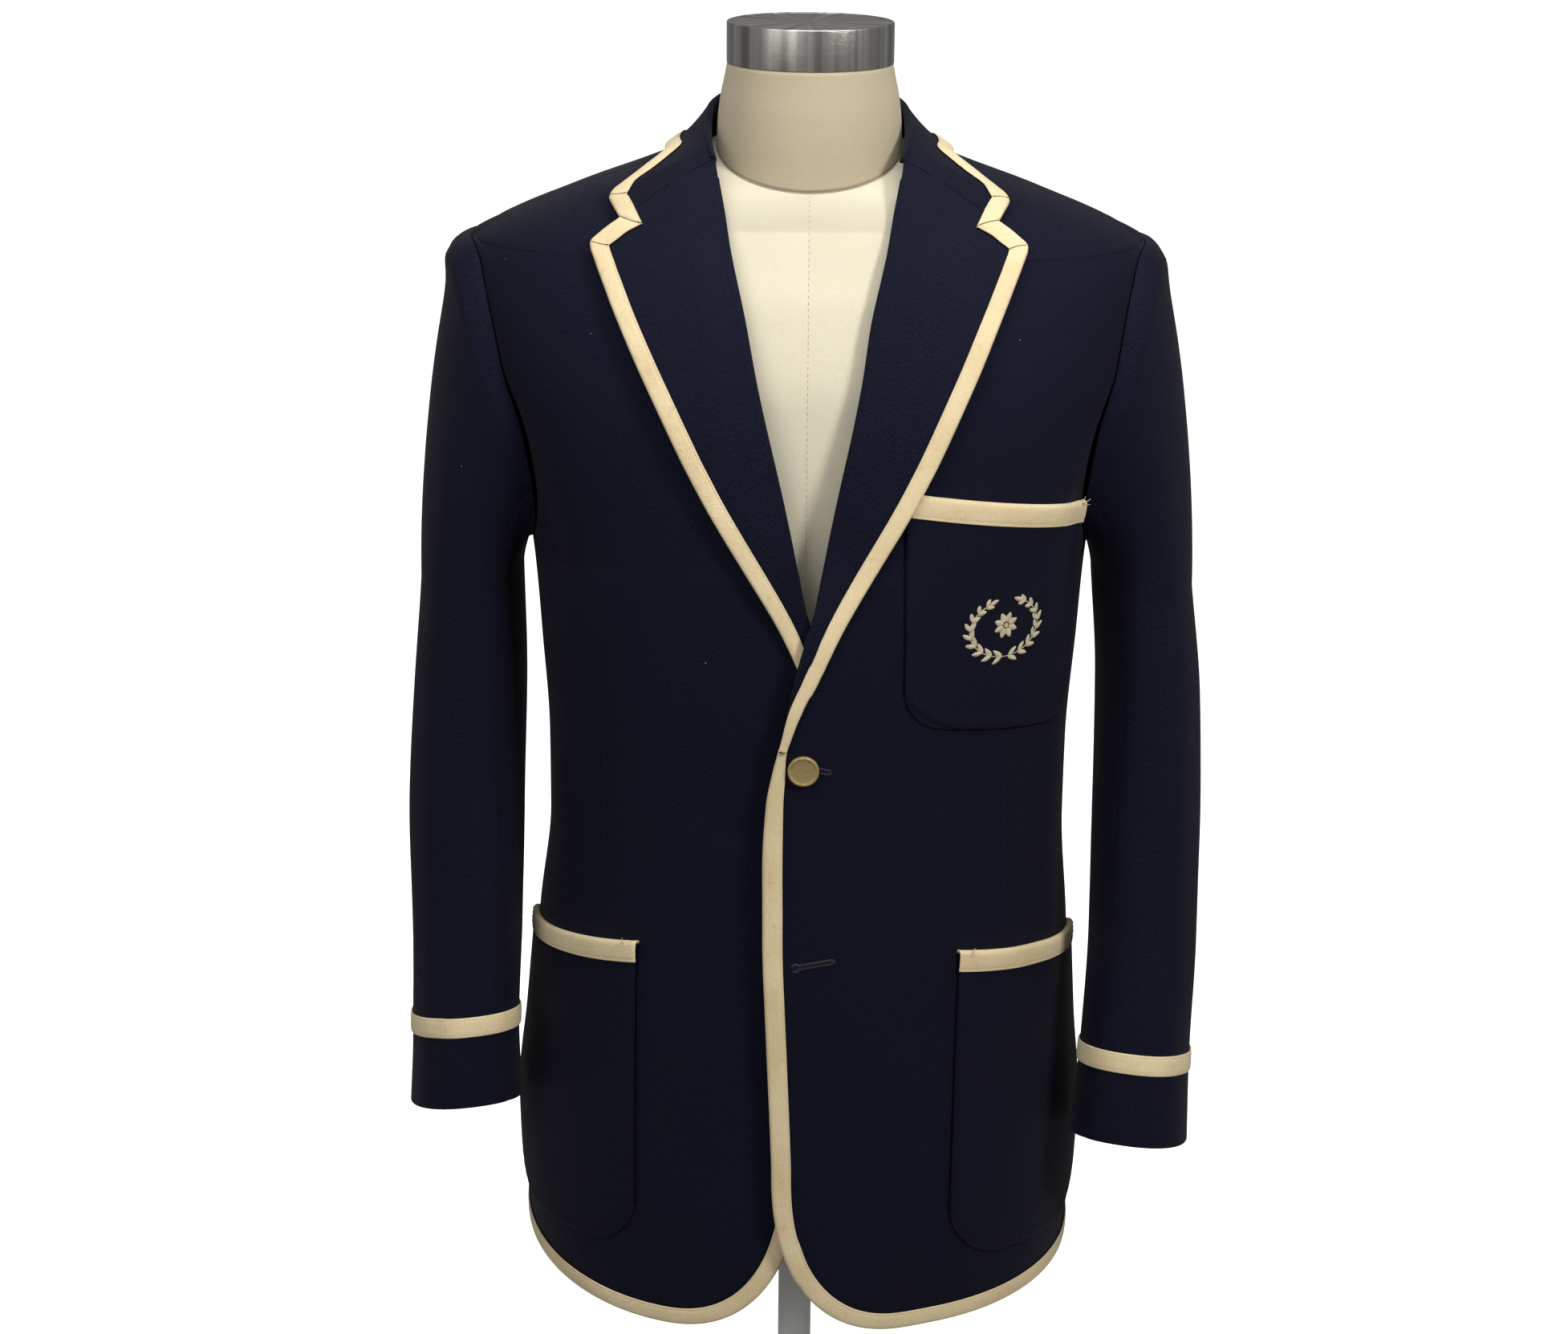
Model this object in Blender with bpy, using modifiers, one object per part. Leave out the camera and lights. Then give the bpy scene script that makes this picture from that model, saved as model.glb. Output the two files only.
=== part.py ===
"""Two-button rowing blazer in navy worsted, bound in cream tape, worn by a limbless dress form.

Metres. +Z is up, -Y is the front of the blazer, +X is the wearer's left, and the floor is Z = 0.
"across" is measured over the cloth from the centre line, positive to the wearer's left; in the tables
of one front it is positive towards that front's own side. "lift" is a height above the cloth's face.
"""
import functools
import math

import bmesh
import bpy
import numpy
from mathutils import Vector

CLOTH = 0.0020            # wall of the worsted, with its canvas
TAPE = 0.0012             # folded cream tape
SEAM = 0.0003             # gap left at a seam between two pieces
SEAM_STRIP = 0.0030       # narrow strip of faces along each seam, so both walls stand square to it
TAPE_LIFT = 0.0016        # outer face of a tape that lies on the cloth
COLLAR_TAPE_WIDTH = 0.0130
POCKET_LIFT = 0.0027      # outer face of a patch pocket
POCKET_TAPE_WIDTH = 0.0145
SEAM_TURN = math.radians(95)   # the side seam, just behind the wearer's side
NECKLINE = 1.035          # where shoulder seam, collar and back meet
SHOULDER_TIP = 0.973
UNDERARM = 0.765
CUFF_BAND_ABOVE_EDGE = 0.052
SPRUNG_TAPE = TAPE_LIFT + 0.0004   # tape on a curved or folded piece stands a little higher
FLOOR_PLATE_RADIUS = 0.160
FLOOR_PLATE_HEIGHT = 0.012
POLE_RADIUS = 0.0125
FORM_BOTTOM = 0.360
CAP_BOTTOM, CAP_TOP, CAP_RADIUS = 1.088, 1.115, 0.056


class Sections:
    """A short table, read by its first column along a smooth curve through its rows."""

    def __init__(self, names, *rows):
        self.at = [row[0] for row in rows]
        self.columns = {name: [row[k] for row in rows] for k, name in enumerate(names.split())}
        self.slopes = {name: self.slopes_of(values) for name, values in self.columns.items()}

    def slopes_of(self, values):
        """Slope at each row, level where the column turns back, so the curve never overshoots."""
        count = len(values) - 1
        steps = [(values[k + 1] - values[k]) / (self.at[k + 1] - self.at[k]) for k in range(count)]
        pairs = zip(steps, steps[1:])
        inner = [2 * low * high / (low + high) if low * high > 0 else 0.0 for low, high in pairs]
        return [steps[0]] + inner + [steps[-1]]

    def read(self, name, place):
        values, slopes = self.columns[name], self.slopes[name]
        place = min(max(place, self.at[0]), self.at[-1])
        last = len(self.at) - 2
        k = next((row for row in range(last) if place <= self.at[row + 1]), last)
        step = self.at[k + 1] - self.at[k]
        t = (place - self.at[k]) / step
        blend = t * t * (3 - 2 * t)
        bend = step * t * (1 - t) * ((1 - t) * slopes[k] - t * slopes[k + 1])
        return values[k] * (1 - blend) + values[k + 1] * blend + bend


# Level sections through the worn blazer's outer face, hem to neckline. front and back are the depths
# at the centre, centre is where the section is widest, and square is its superellipse power.
BODY = Sections(
    "height half_width front  back   centre square shift",
    (0.190, 0.2010, 0.1400, 0.1370, 0.028, 2.30, 0.0015),
    (0.235, 0.2040, 0.1410, 0.1390, 0.028, 2.30, 0.0015),
    (0.330, 0.2070, 0.1440, 0.1390, 0.028, 2.30, 0.0015),
    (0.400, 0.2000, 0.1460, 0.1370, 0.024, 2.30, 0.0020),
    (0.480, 0.1930, 0.1475, 0.1290, 0.018, 2.30, 0.0030),
    (0.560, 0.1850, 0.1485, 0.1160, 0.010, 2.30, 0.0045),
    (0.620, 0.1845, 0.1495, 0.1120, 0.005, 2.30, 0.0045),
    (0.700, 0.1885, 0.1515, 0.1220, 0.000, 2.35, 0.0045),
    (0.765, 0.1930, 0.1510, 0.1330, 0.000, 2.40, 0.0040),
    (0.850, 0.2130, 0.1440, 0.1400, 0.000, 2.40, 0.0030),
    (0.900, 0.2290, 0.1330, 0.1380, 0.000, 2.40, 0.0020),
    (0.945, 0.2330, 0.1170, 0.1290, 0.000, 2.40, 0.0010),
    (0.965, 0.2310, 0.1070, 0.1220, 0.000, 2.40, 0.0010),
    (0.973, 0.2290, 0.1020, 0.1190, 0.000, 2.40, 0.0010),
    (0.981, 0.2160, 0.0970, 0.1160, 0.000, 2.40, 0.0010),
    (0.988, 0.1980, 0.0920, 0.1130, 0.000, 2.40, 0.0010),
    (1.002, 0.1640, 0.0830, 0.1070, 0.000, 2.40, 0.0010),
    (1.021, 0.1100, 0.0700, 0.0970, 0.000, 2.40, 0.0010),
    (1.035, 0.0750, 0.0600, 0.0870, 0.000, 2.40, 0.0010),
)

# One front, measured from the centre line towards its own side.
ROLL_LINE = Sections(
    "height across",
    (0.657, -0.0195), (0.677, -0.0155), (0.708, -0.0095), (0.746, 0.0010), (0.820, 0.0165),
    (0.899, 0.0340), (0.936, 0.0405), (0.980, 0.0510), (1.005, 0.0560), (1.0285, 0.0625),
)
LAPEL_EDGE = Sections(
    "height across",
    (0.657, -0.0125), (0.680, -0.0050), (0.710, 0.0075), (0.740, 0.0205), (0.825, 0.0690),
    (0.897, 0.1045), (0.978, 0.1425),
)
# Tape that shows on the edge: it narrows where it turns over at the break.
EDGE_TAPE = Sections(
    "height width",
    (0.200, 0.0125), (0.574, 0.0122), (0.617, 0.0105), (0.641, 0.0082), (0.657, 0.0060), (0.690, 0.0084),
    (0.740, 0.0102), (0.800, 0.0118), (0.860, 0.0128), (1.000, 0.0130),
)
BREAK, ROLL_TOP, LAPEL_TIP = 0.657, 1.0285, 0.978
NOTCH_ACROSS, NOTCH_HEIGHT = 0.1225, 0.991
NOTCH_SHARE = 0.76              # of the lapel's top, from the roll line
LAPEL_PARTS = [0.0, 0.19, 0.38, 0.57, NOTCH_SHARE, 1.0]
LAPEL_ROWS = 14
# A lapel stands off its front in three soft steps: height gained, and the distance it takes.
LAPEL_GAP = 0.0008
ROLL_RISE, ROLL_REACH = 0.0032, 0.030
EDGE_RISE, EDGE_REACH = 0.0012, 0.080
NECK_RISE, NECK_RISE_FROM, NECK_RISE_OVER = 0.0016, 0.985, 0.030
FRONT_EDGE = {
    "left": Sections(
        "height across",
        (0.345, -0.0183), (0.377, -0.0198), (0.463, -0.0246), (0.517, -0.0276), (0.574, -0.0287),
        (0.617, -0.0268), (0.641, -0.0230), (0.657, -0.0195),
    ),
    "right": Sections(
        "height across",
        (0.345, 0.0000), (0.377, -0.0030), (0.463, -0.0140), (0.517, -0.0210), (0.574, -0.0260),
        (0.617, -0.0268), (0.641, -0.0230), (0.657, -0.0195),
    ),
}
CORNER_TOP, CORNER_REACH, CORNER_POWER = 0.345, 0.099, 2.4
HEM_FRONT = {"left": 0.2080, "right": 0.2065}
HEM_SIDE = {"left": 0.2160, "right": 0.2260}
HEM_BACK = 0.2200
OVERLAP_LIFT, OVERLAP_ACROSS, OVERLAP_TOP = 0.0108, 0.100, 0.800   # left front stands off the right
SIGN = {"left": 1, "right": -1}

# Armhole: an oval from the shoulder tip to the underarm; the spreads are turns round the body.
ARMHOLE_MIDDLE = (SHOULDER_TIP + UNDERARM) / 2
ARMHOLE_HALF = (SHOULDER_TIP - UNDERARM) / 2
ARMHOLE_SPREAD = {"front": math.radians(31), "back": math.radians(25)}
ARMHOLE_STEPS = 10
UNDER_SLEEVE_STEPS = (7, 13)    # of the 20 steps round the armhole, counted from the tip to the front

# Sleeve sections from the upper arm to the cuff: out and forward are the middle's distances from the
# body's axis, half_out and half_deep the oval's half sizes, twist its turn towards the front.
SLEEVE = {
    "right": Sections(
        "height out    forward half_out half_deep twist",
        (0.350, 0.2410, 0.056, 0.0400, 0.050, 14),
        (0.400, 0.2410, 0.048, 0.0380, 0.053, 12),
        (0.480, 0.2390, 0.032, 0.0390, 0.058, 8),
        (0.560, 0.2385, 0.018, 0.0405, 0.064, 4),
        (0.660, 0.2345, 0.006, 0.0385, 0.070, 0),
        (0.735, 0.2325, 0.000, 0.0350, 0.074, 0),
    ),
    "left": Sections(
        "height out    forward half_out half_deep twist",
        (0.334, 0.2400, 0.074, 0.0420, 0.050, 14),
        (0.400, 0.2430, 0.062, 0.0390, 0.053, 12),
        (0.480, 0.2460, 0.044, 0.0380, 0.058, 8),
        (0.560, 0.2460, 0.028, 0.0375, 0.064, 4),
        (0.660, 0.2440, 0.012, 0.0350, 0.070, 0),
        (0.735, 0.2380, 0.000, 0.0340, 0.074, 0),
    ),
}
SLEEVE_POWER = 2 / 2.3          # the oval is a little squarer than an ellipse
SLEEVE_LEVELS = [0.480, 0.540, 0.600, 0.660]
SLEEVE_HEAD_BOTTOM = 0.735
SLEEVE_HEAD_PARTS = (0.80, 0.60, 0.42, 0.26, 0.13, 0.0)
HEAD_LEAVE, HEAD_ARRIVE = (0.018, 0.055), (0.03, 0.30)   # under the arm, and at the shoulder tip
CUFF_TILT_TOP, CUFF_TILT_REACH = 0.620, 0.220
CUFF_TILT, CUFF_LEAN = 0.27, 0.10   # rise of the cuff for each metre forward, and towards the body

# Patch pockets: front is the across of the upright edge nearest the buttons; the slants are the drop
# of the mouth and of the bottom for each metre going round to the side.
POCKETS = {
    "chest_pocket": dict(side="left", front=0.0625, width=0.150, top=0.8285, bottom=0.671,
                         corner=0.026, mouth_slant=0.155, bottom_slant=0.150),
    "hip_pocket_left": dict(side="left", front=0.1090, width=0.165, top=0.4995, bottom=0.2575,
                            corner=0.045, mouth_slant=0.190, bottom_slant=0.070),
    "hip_pocket_right": dict(side="right", front=0.1195, width=0.165, top=0.5020, bottom=0.2600,
                             corner=0.045, mouth_slant=0.190, bottom_slant=0.020),
}

# Collar ribs of one half, centre back to the notch: where the stand meets the neckline, the fold at
# the top of the collar, and the free edge of the fall on the shoulder.
COLLAR = Sections(
    "rib  neck_turn fold_x  fold_y  fold_z  edge_turn edge_height",
    (0.0, 180.0, 0.0000, 0.0730, 1.0670, 180.0, 1.0180),
    (1.0, 152.0, 0.0330, 0.0655, 1.0660, 152.0, 1.0180),
    (2.0, 124.0, 0.0550, 0.0415, 1.0625, 126.0, 1.0200),
    (3.0, 101.0, 0.0640, 0.0160, 1.0570, 105.0, 1.0225),
    (4.0, 84.0, 0.0648, -0.0080, 1.0515, 87.0, 1.0225),
    (5.0, 70.0, 0.0644, -0.0265, 1.0460, 70.0, 1.0150),
    (6.0, 59.0, 0.0632, -0.0415, 1.0402, 59.0, 1.0080),
    (7.0, 52.5, 0.0618, -0.0485, 1.0360, 51.8, 1.0035),
    (8.0, 49.5, 0.0608, -0.0534, 1.0352, 34.5, 0.9900),
)

COLLAR_RIBS = (0.5, 1.0, 1.5, 2.0, 2.5, 3.0, 3.5, 4.0, 4.5, 5.0, 5.5, 6.0, 6.5, 7.0, 7.5)
COLLAR_TIP_RIB = 7.0
COLLAR_SPRING = 0.0042          # height of the free edge off the shoulder
FALL_PARTS = (0.0, 0.28, 0.56, 0.80, 1.0)
GORGE_PARTS = (0.76, 0.57, 0.38, 0.19)
GORGE_RISE = 0.0013             # keeps the fold clear of the lapel's corner
FALL_TOP_OUT, FALL_TOP_DROP = 0.0055, 0.0030
FALL_HOLLOW, FALL_ROUND = -0.0042, 0.0036     # fullness of the fall beside the neck, and at the gorge

# Button: place on the left front, and its turned profile as shares of its radius and thickness.
BUTTON_ACROSS, BUTTON_HEIGHT = -0.0034, 0.6440
BUTTON_RADIUS, BUTTON_THICKNESS, BUTTON_LIFT = 0.0105, 0.0030, 0.0015
BUTTON_FACE = [(0.0, 0.5), (0.80, 0.5), (0.84, 0.62), (0.95, 0.62), (1.0, 0.40), (1.0, -0.35), (0.9, -0.5)]
SHANK_SHARE, SHANK_SUNK = 0.25, 0.0005

# Bare shell of the dress form, just under the blazer's shoulders and clear of the cloth elsewhere.
FORM = Sections(
    "height half_width front  back   centre square shift",
    (0.360, 0.1700, 0.1100, 0.1120, 0.010, 2.20, 0.001),
    (0.450, 0.1700, 0.1130, 0.1120, 0.006, 2.20, 0.001),
    (0.590, 0.1560, 0.1120, 0.0930, 0.000, 2.20, 0.001),
    (0.700, 0.1660, 0.1240, 0.1080, 0.000, 2.30, 0.001),
    (0.800, 0.1760, 0.1290, 0.1200, 0.000, 2.40, 0.001),
    (0.880, 0.1850, 0.1250, 0.1240, 0.000, 2.40, 0.001),
    (0.940, 0.1960, 0.1090, 0.1180, 0.000, 2.40, 0.001),
    (0.965, 0.1990, 0.0970, 0.1110, 0.000, 2.40, 0.001),
    (0.9882, 0.1850, 0.0860, 0.1060, 0.000, 2.40, 0.001),
    (1.0022, 0.1560, 0.0770, 0.0990, 0.000, 2.40, 0.001),
    (1.0212, 0.1060, 0.0640, 0.0900, 0.000, 2.40, 0.001),
    (1.0352, 0.0730, 0.0540, 0.0800, 0.000, 2.40, 0.001),
)
NECK_SEAM_HEIGHT, NECK_SEAM_TILT, NECK_SEAM_RADIUS = 1.033, 0.36, 0.0625
NECK = Sections("part radius", (0.0, 0.0625), (0.3, 0.0618), (0.6, 0.0600), (0.85, 0.0572), (1.0, 0.0556))


# ---- the cloth's surface ----

def section_point(table, turn, height):
    """Point of a level section; turn is the angle from the centre front to the wearer's left."""
    power = 2 / table.read("square", height)
    centre = table.read("centre", height)
    sideways, forward = math.sin(turn), math.cos(turn)
    depth = table.read("front", height) + centre if forward > 0 else table.read("back", height) - centre
    x = table.read("half_width", height) * math.copysign(abs(sideways) ** power, sideways)
    y = centre - depth * math.copysign(abs(forward) ** power, forward)
    return Vector((x + table.read("shift", height), y, height))


TURNS = [math.radians(2 * k) for k in range(91)]


@functools.lru_cache(maxsize=None)
def lengths_round(height):
    """Distance over the cloth from the centre front to each of the turns."""
    points = [section_point(BODY, turn, height) for turn in TURNS]
    lengths = [0.0]
    for before, after in zip(points, points[1:]):
        lengths.append(lengths[-1] + (after - before).length)
    return lengths


def turn_at(across, height):
    return math.copysign(float(numpy.interp(abs(across), lengths_round(round(height, 5)), TURNS)), across)


def across_at(turn, height):
    return math.copysign(float(numpy.interp(abs(turn), TURNS, lengths_round(round(height, 5)))), turn)


def lifted(turn, height, lift=0.0):
    """Point at a turn and height, moved out from the cloth's face."""
    along = section_point(BODY, turn + 0.01, height) - section_point(BODY, turn - 0.01, height)
    above = section_point(BODY, turn, min(height + 0.001, NECKLINE))
    up = above - section_point(BODY, turn, height - 0.001)
    return section_point(BODY, turn, height) + along.cross(up).normalized() * lift


def on_cloth(across, height, lift=0.0):
    return lifted(turn_at(across, height), height, lift)


def ease(t):
    """Smooth step from 0 to 1."""
    t = min(max(t, 0.0), 1.0)
    return t * t * (3 - 2 * t)


def mix(low, high, part):
    return low + (high - low) * part


def overlap_lift(side, across, height):
    """The left front passes over the right one where they button."""
    if side == "right":
        return 0.0
    near = ease((OVERLAP_ACROSS - across) / (OVERLAP_ACROSS + 0.025))
    return OVERLAP_LIFT * near * (1 - ease((height - 0.720) / (OVERLAP_TOP - 0.720)))


def front_point(side, across, height, lift=0.0):
    """Point of one front, measured towards its own side."""
    return on_cloth(SIGN[side] * across, height, lift + overlap_lift(side, across, height))


def armhole_turn(height, face):
    """Turn of the armhole's front or back edge at a height between underarm and shoulder tip."""
    level = min(max((height - ARMHOLE_MIDDLE) / ARMHOLE_HALF, -1.0), 1.0)
    middle = math.radians(92.5 - 2.5 * level)
    spread = ARMHOLE_SPREAD[face] * (1 - level * level) ** 0.25
    return middle - spread if face == "front" else middle + spread


def outer_turn(height, face):
    """Turn of a panel's outer boundary: side seam, then armhole, then shoulder seam."""
    if height <= UNDERARM:
        return SEAM_TURN
    return armhole_turn(height, face) if height < SHOULDER_TIP else math.radians(90)


# ---- building a wall ----

blazer = bpy.data.collections.new("rowing_blazer_on_dress_form")


def material(name, colour, roughness, metallic=0.0):
    made = bpy.data.materials.new(name)
    made.use_nodes = True
    shader = made.node_tree.nodes["Principled BSDF"]
    shader.inputs["Base Color"].default_value = (*colour, 1)
    shader.inputs["Roughness"].default_value = roughness
    shader.inputs["Metallic"].default_value = metallic
    return made


def add_object(name, mesh, finish):
    made = bpy.data.objects.new(name, mesh)
    blazer.objects.link(made)
    mesh.materials.append(finish)
    return made


def loft(name, rows, finish, thickness=0.0, ring=False, capped=False):
    """Faces between rows of points that run to the wearer's left and upwards.

    With a thickness the points are the outer face of a wall, and Solidify adds the inner one.
    """
    shell = bmesh.new()
    grid = [[shell.verts.new(point) for point in row] for row in rows]
    for low, high in zip(grid, grid[1:]):
        pairs = list(zip(low, low[1:])) + ([(low[-1], low[0])] if ring else [])
        uppers = list(zip(high, high[1:])) + ([(high[-1], high[0])] if ring else [])
        for (a, b), (d, c) in zip(pairs, uppers):
            shell.faces.new((a, b, c, d))
    if capped:
        shell.faces.new(list(reversed(grid[0])))
        shell.faces.new(grid[-1])
    mesh = bpy.data.meshes.new(name)
    shell.to_mesh(mesh)
    shell.free()
    mesh.shade_smooth()
    made = add_object(name, mesh, finish)
    if thickness:
        wall = made.modifiers.new("wall", "SOLIDIFY")
        wall.thickness = thickness
        wall.offset = -1
    return made


def leftwards(side, rows):
    """Rows written from the centre to a front's own side, turned to run to the wearer's left."""
    return rows if side == "left" else [list(reversed(row)) for row in rows]


def seam_parts(width, count, first=True, last=True):
    """Parts of a width, evenly spread, with a narrow strip next to each seam."""
    strip = SEAM_STRIP / width
    parts = [k / count for k in range(count + 1)]
    if first:
        parts.insert(1, strip)
    if last:
        parts.insert(-1, 1 - strip)
    return parts


navy = material("navy_worsted", (0.012, 0.013, 0.028), 0.85)
cream = material("cream_tape", (0.68, 0.52, 0.32), 0.75)
brass = material("matte_brass", (0.42, 0.31, 0.13), 0.42, 1.0)
linen = material("cream_linen", (0.78, 0.73, 0.58), 0.9)
neck_linen = material("neck_linen", (0.60, 0.53, 0.41), 0.9)
steel = material("brushed_steel", (0.62, 0.61, 0.59), 0.32, 1.0)
painted = material("painted_metal", (0.80, 0.79, 0.76), 0.5)

ARMHOLE_LEVELS = [ARMHOLE_MIDDLE - ARMHOLE_HALF * math.cos(math.pi * k / ARMHOLE_STEPS)
                  for k in range(ARMHOLE_STEPS + 1)]
BODY_LEVELS = [0.400, 0.450, 0.500, 0.550, 0.590, 0.625, 0.657, 0.690, 0.720, 0.746]
SHOULDER_LEVELS = [0.981, 0.988, 0.995, 1.003, 1.0115]


# ---- fronts ----

def hem_point(side, part):
    """Across and height of the hem: round the front corner, then along to the side seam."""
    edge = FRONT_EDGE[side].read("across", CORNER_TOP)
    corner_share = 0.45
    if part <= corner_share:
        angle = math.pi / 2 * part / corner_share
        power = 2 / CORNER_POWER
        across = edge + CORNER_REACH * (1 - math.cos(angle) ** power)
        return across, CORNER_TOP - (CORNER_TOP - HEM_FRONT[side]) * math.sin(angle) ** power
    along = (part - corner_share) / (1 - corner_share)
    height = mix(HEM_FRONT[side], HEM_SIDE[side], ease(along))
    seam = across_at(SEAM_TURN, height) - SEAM / 2
    return mix(edge + CORNER_REACH, seam, along), height


def front_edge(side, height):
    return FRONT_EDGE[side].read("across", height) if height < BREAK else ROLL_LINE.read("across", height)


def front(side):
    """One front, from the hem up to the shoulder seam, ending in front at the roll line."""
    parts = seam_parts(0.28, 9, first=False)
    first_level = BODY_LEVELS[0]
    rows = []
    for rise in (0.0, 0.12, 0.35, 0.65):
        row = []
        for part in parts:
            hem_across, hem_height = hem_point(side, part)
            seam = across_at(SEAM_TURN, first_level) - SEAM / 2
            top_across = mix(front_edge(side, first_level), seam, part)
            row.append(front_point(side, mix(hem_across, top_across, rise),
                                   mix(hem_height, first_level, rise)))
        rows.append(row)
    for level in BODY_LEVELS + ARMHOLE_LEVELS + SHOULDER_LEVELS:
        start, end = front_edge(side, level), across_at(outer_turn(level, "front"), level) - SEAM / 2
        rows.append([front_point(side, mix(start, end, part), level) for part in parts])
    gorge = (1.0205, NECKLINE - 0.0005)
    for rise in (0.5, 1.0):
        row = []
        for part in parts:
            level = mix(SHOULDER_LEVELS[-1], mix(*gorge, part), rise)
            start, end = front_edge(side, level), across_at(math.radians(90), level) - SEAM / 2
            row.append(front_point(side, mix(start, end, part), level))
        rows.append(row)
    return loft("front_" + side, leftwards(side, rows), navy, CLOTH)


# ---- back ----

def back(side):
    """Half of the back, from the centre seam to the side seam, armhole and shoulder seam."""
    parts = seam_parts(0.24, 7)
    rows = []
    for rise in (0.0, 0.25, 0.6):
        row = []
        for part in parts:
            level = mix(mix(HEM_SIDE[side], HEM_BACK, ease(part)), BODY_LEVELS[0], rise)
            start, end = across_at(SEAM_TURN, level) + SEAM / 2, across_at(math.pi, level) - SEAM / 2
            row.append(on_cloth(SIGN[side] * mix(start, end, part), level))
        rows.append(row)
    for level in BODY_LEVELS + ARMHOLE_LEVELS + SHOULDER_LEVELS + [1.0235, NECKLINE]:
        start = across_at(outer_turn(level, "back"), level) + SEAM / 2
        end = across_at(math.pi, level) - SEAM / 2
        rows.append([on_cloth(SIGN[side] * mix(start, end, part), level) for part in parts])
    return loft("back_" + side, leftwards(side, rows), navy, CLOTH)


# ---- lapels ----

def lapel_lift(across, height):
    """Outer face of a lapel over its front: a soft roll, then a little higher to the free edge."""
    from_roll = across - ROLL_LINE.read("across", height)
    open_part = ease((height - 0.690) / 0.090)
    neck_part = ease((height - NECK_RISE_FROM) / NECK_RISE_OVER)
    rise = ROLL_RISE * ease(from_roll / ROLL_REACH) + EDGE_RISE * ease(from_roll / EDGE_REACH)
    return CLOTH + LAPEL_GAP + rise * open_part + NECK_RISE * neck_part


def lapel_top(part):
    """Across and height along the lapel's top, roll line to notch to tip."""
    roll = (ROLL_LINE.read("across", ROLL_TOP), ROLL_TOP)
    notch, tip = (NOTCH_ACROSS, NOTCH_HEIGHT), (LAPEL_EDGE.read("across", LAPEL_TIP), LAPEL_TIP)
    if part <= NOTCH_SHARE:
        low, high, rest = roll, notch, part / NOTCH_SHARE
    else:
        low, high, rest = notch, tip, (part - NOTCH_SHARE) / (1 - NOTCH_SHARE)
    return mix(low[0], high[0], rest), mix(low[1], high[1], rest)


def lapel(side):
    """The facing of one front, folded back along the roll line from the break to the gorge."""
    rows = []
    for step in range(LAPEL_ROWS + 1):
        rise = step / LAPEL_ROWS
        roll_height, edge_height = mix(BREAK, ROLL_TOP, rise), mix(BREAK, LAPEL_TIP, rise)
        roll, edge = ROLL_LINE.read("across", roll_height), LAPEL_EDGE.read("across", edge_height)
        row = []
        for part in LAPEL_PARTS:
            top_across, top_height = lapel_top(part)
            bend = ease((rise - 0.8) / 0.2)
            straight = mix(ROLL_LINE.read("across", ROLL_TOP), LAPEL_EDGE.read("across", LAPEL_TIP), part)
            across = mix(roll, edge, part) + bend * (top_across - straight)
            level = mix(ROLL_TOP, LAPEL_TIP, part)
            height = mix(roll_height, edge_height, part) + bend * (top_height - level)
            row.append(front_point(side, across, height, lapel_lift(across, height)))
        rows.append(row)
    return loft("lapel_" + side, leftwards(side, rows), navy, CLOTH)


# ---- collar ----

def collar_rib(rib, turn_sign):
    """One rib of the collar, free edge first, over the fold, to the foot of the stand."""
    def value(name):
        return COLLAR.read(name, rib)
    fold = Vector((turn_sign * value("fold_x"), value("fold_y"), value("fold_z")))
    edge_turn = turn_sign * math.radians(value("edge_turn"))
    edge = lifted(edge_turn, value("edge_height"), COLLAR_SPRING)
    neck_turn = turn_sign * math.radians(value("neck_turn"))
    foot_height = NECKLINE + 0.0013 - 0.0098 * ease((rib - 4) / 4)
    foot = lifted(neck_turn, foot_height, -0.0006)
    outward = Vector((fold.x, fold.y, 0)).normalized()
    shoulder = fold + outward * FALL_TOP_OUT - Vector((0, 0, FALL_TOP_DROP))
    fullness = mix(FALL_HOLLOW, FALL_ROUND, ease((rib - 4.5) / 2.5))
    handle = mix(shoulder, edge, 0.45) + Vector((0, 0, fullness))
    points = []
    for part in FALL_PARTS:
        points.append(edge * (1 - part) ** 2 + handle * 2 * part * (1 - part) + shoulder * part ** 2)
    points.append(fold + outward * 0.0032)
    points.append(fold - outward * 0.0005 + Vector((0, 0, -0.0028)))
    points.append(mix(fold - outward * 0.0010, foot, 0.55))
    points.append(foot)
    return points


def gorge_rib(side):
    """The collar's seam with the lapel, laid along the lapel's top as far as the notch."""
    points = collar_rib(8.0, SIGN[side])
    for k, part in enumerate(GORGE_PARTS):
        across, height = lapel_top(part)
        points[k] = front_point(side, across, height + GORGE_RISE, lapel_lift(across, height))
    points[len(GORGE_PARTS)].z += GORGE_RISE
    return points


def collar():
    """The collar in one piece, from the gorge round the back of the neck to the other gorge."""
    ribs = [gorge_rib("left")]
    ribs += [collar_rib(rib, 1) for rib in reversed(COLLAR_RIBS)]
    ribs += [collar_rib(0.0, 1)]
    ribs += [collar_rib(rib, -1) for rib in COLLAR_RIBS]
    ribs += [gorge_rib("right")]
    return loft("collar", [list(row) for row in zip(*ribs)], navy, CLOTH)


# ---- sleeves ----

def sleeve_angles(first, last):
    """Angles round the sleeve, 0 outermost, a quarter turn at the front, with strips at the seams."""
    step = math.pi / ARMHOLE_STEPS
    strip = math.radians(3)
    gap = math.radians(0.17)
    inner = [k * step for k in range(first + 1, last)]
    return [first * step + gap, first * step + strip] + inner + [last * step - strip, last * step - gap]


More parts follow.
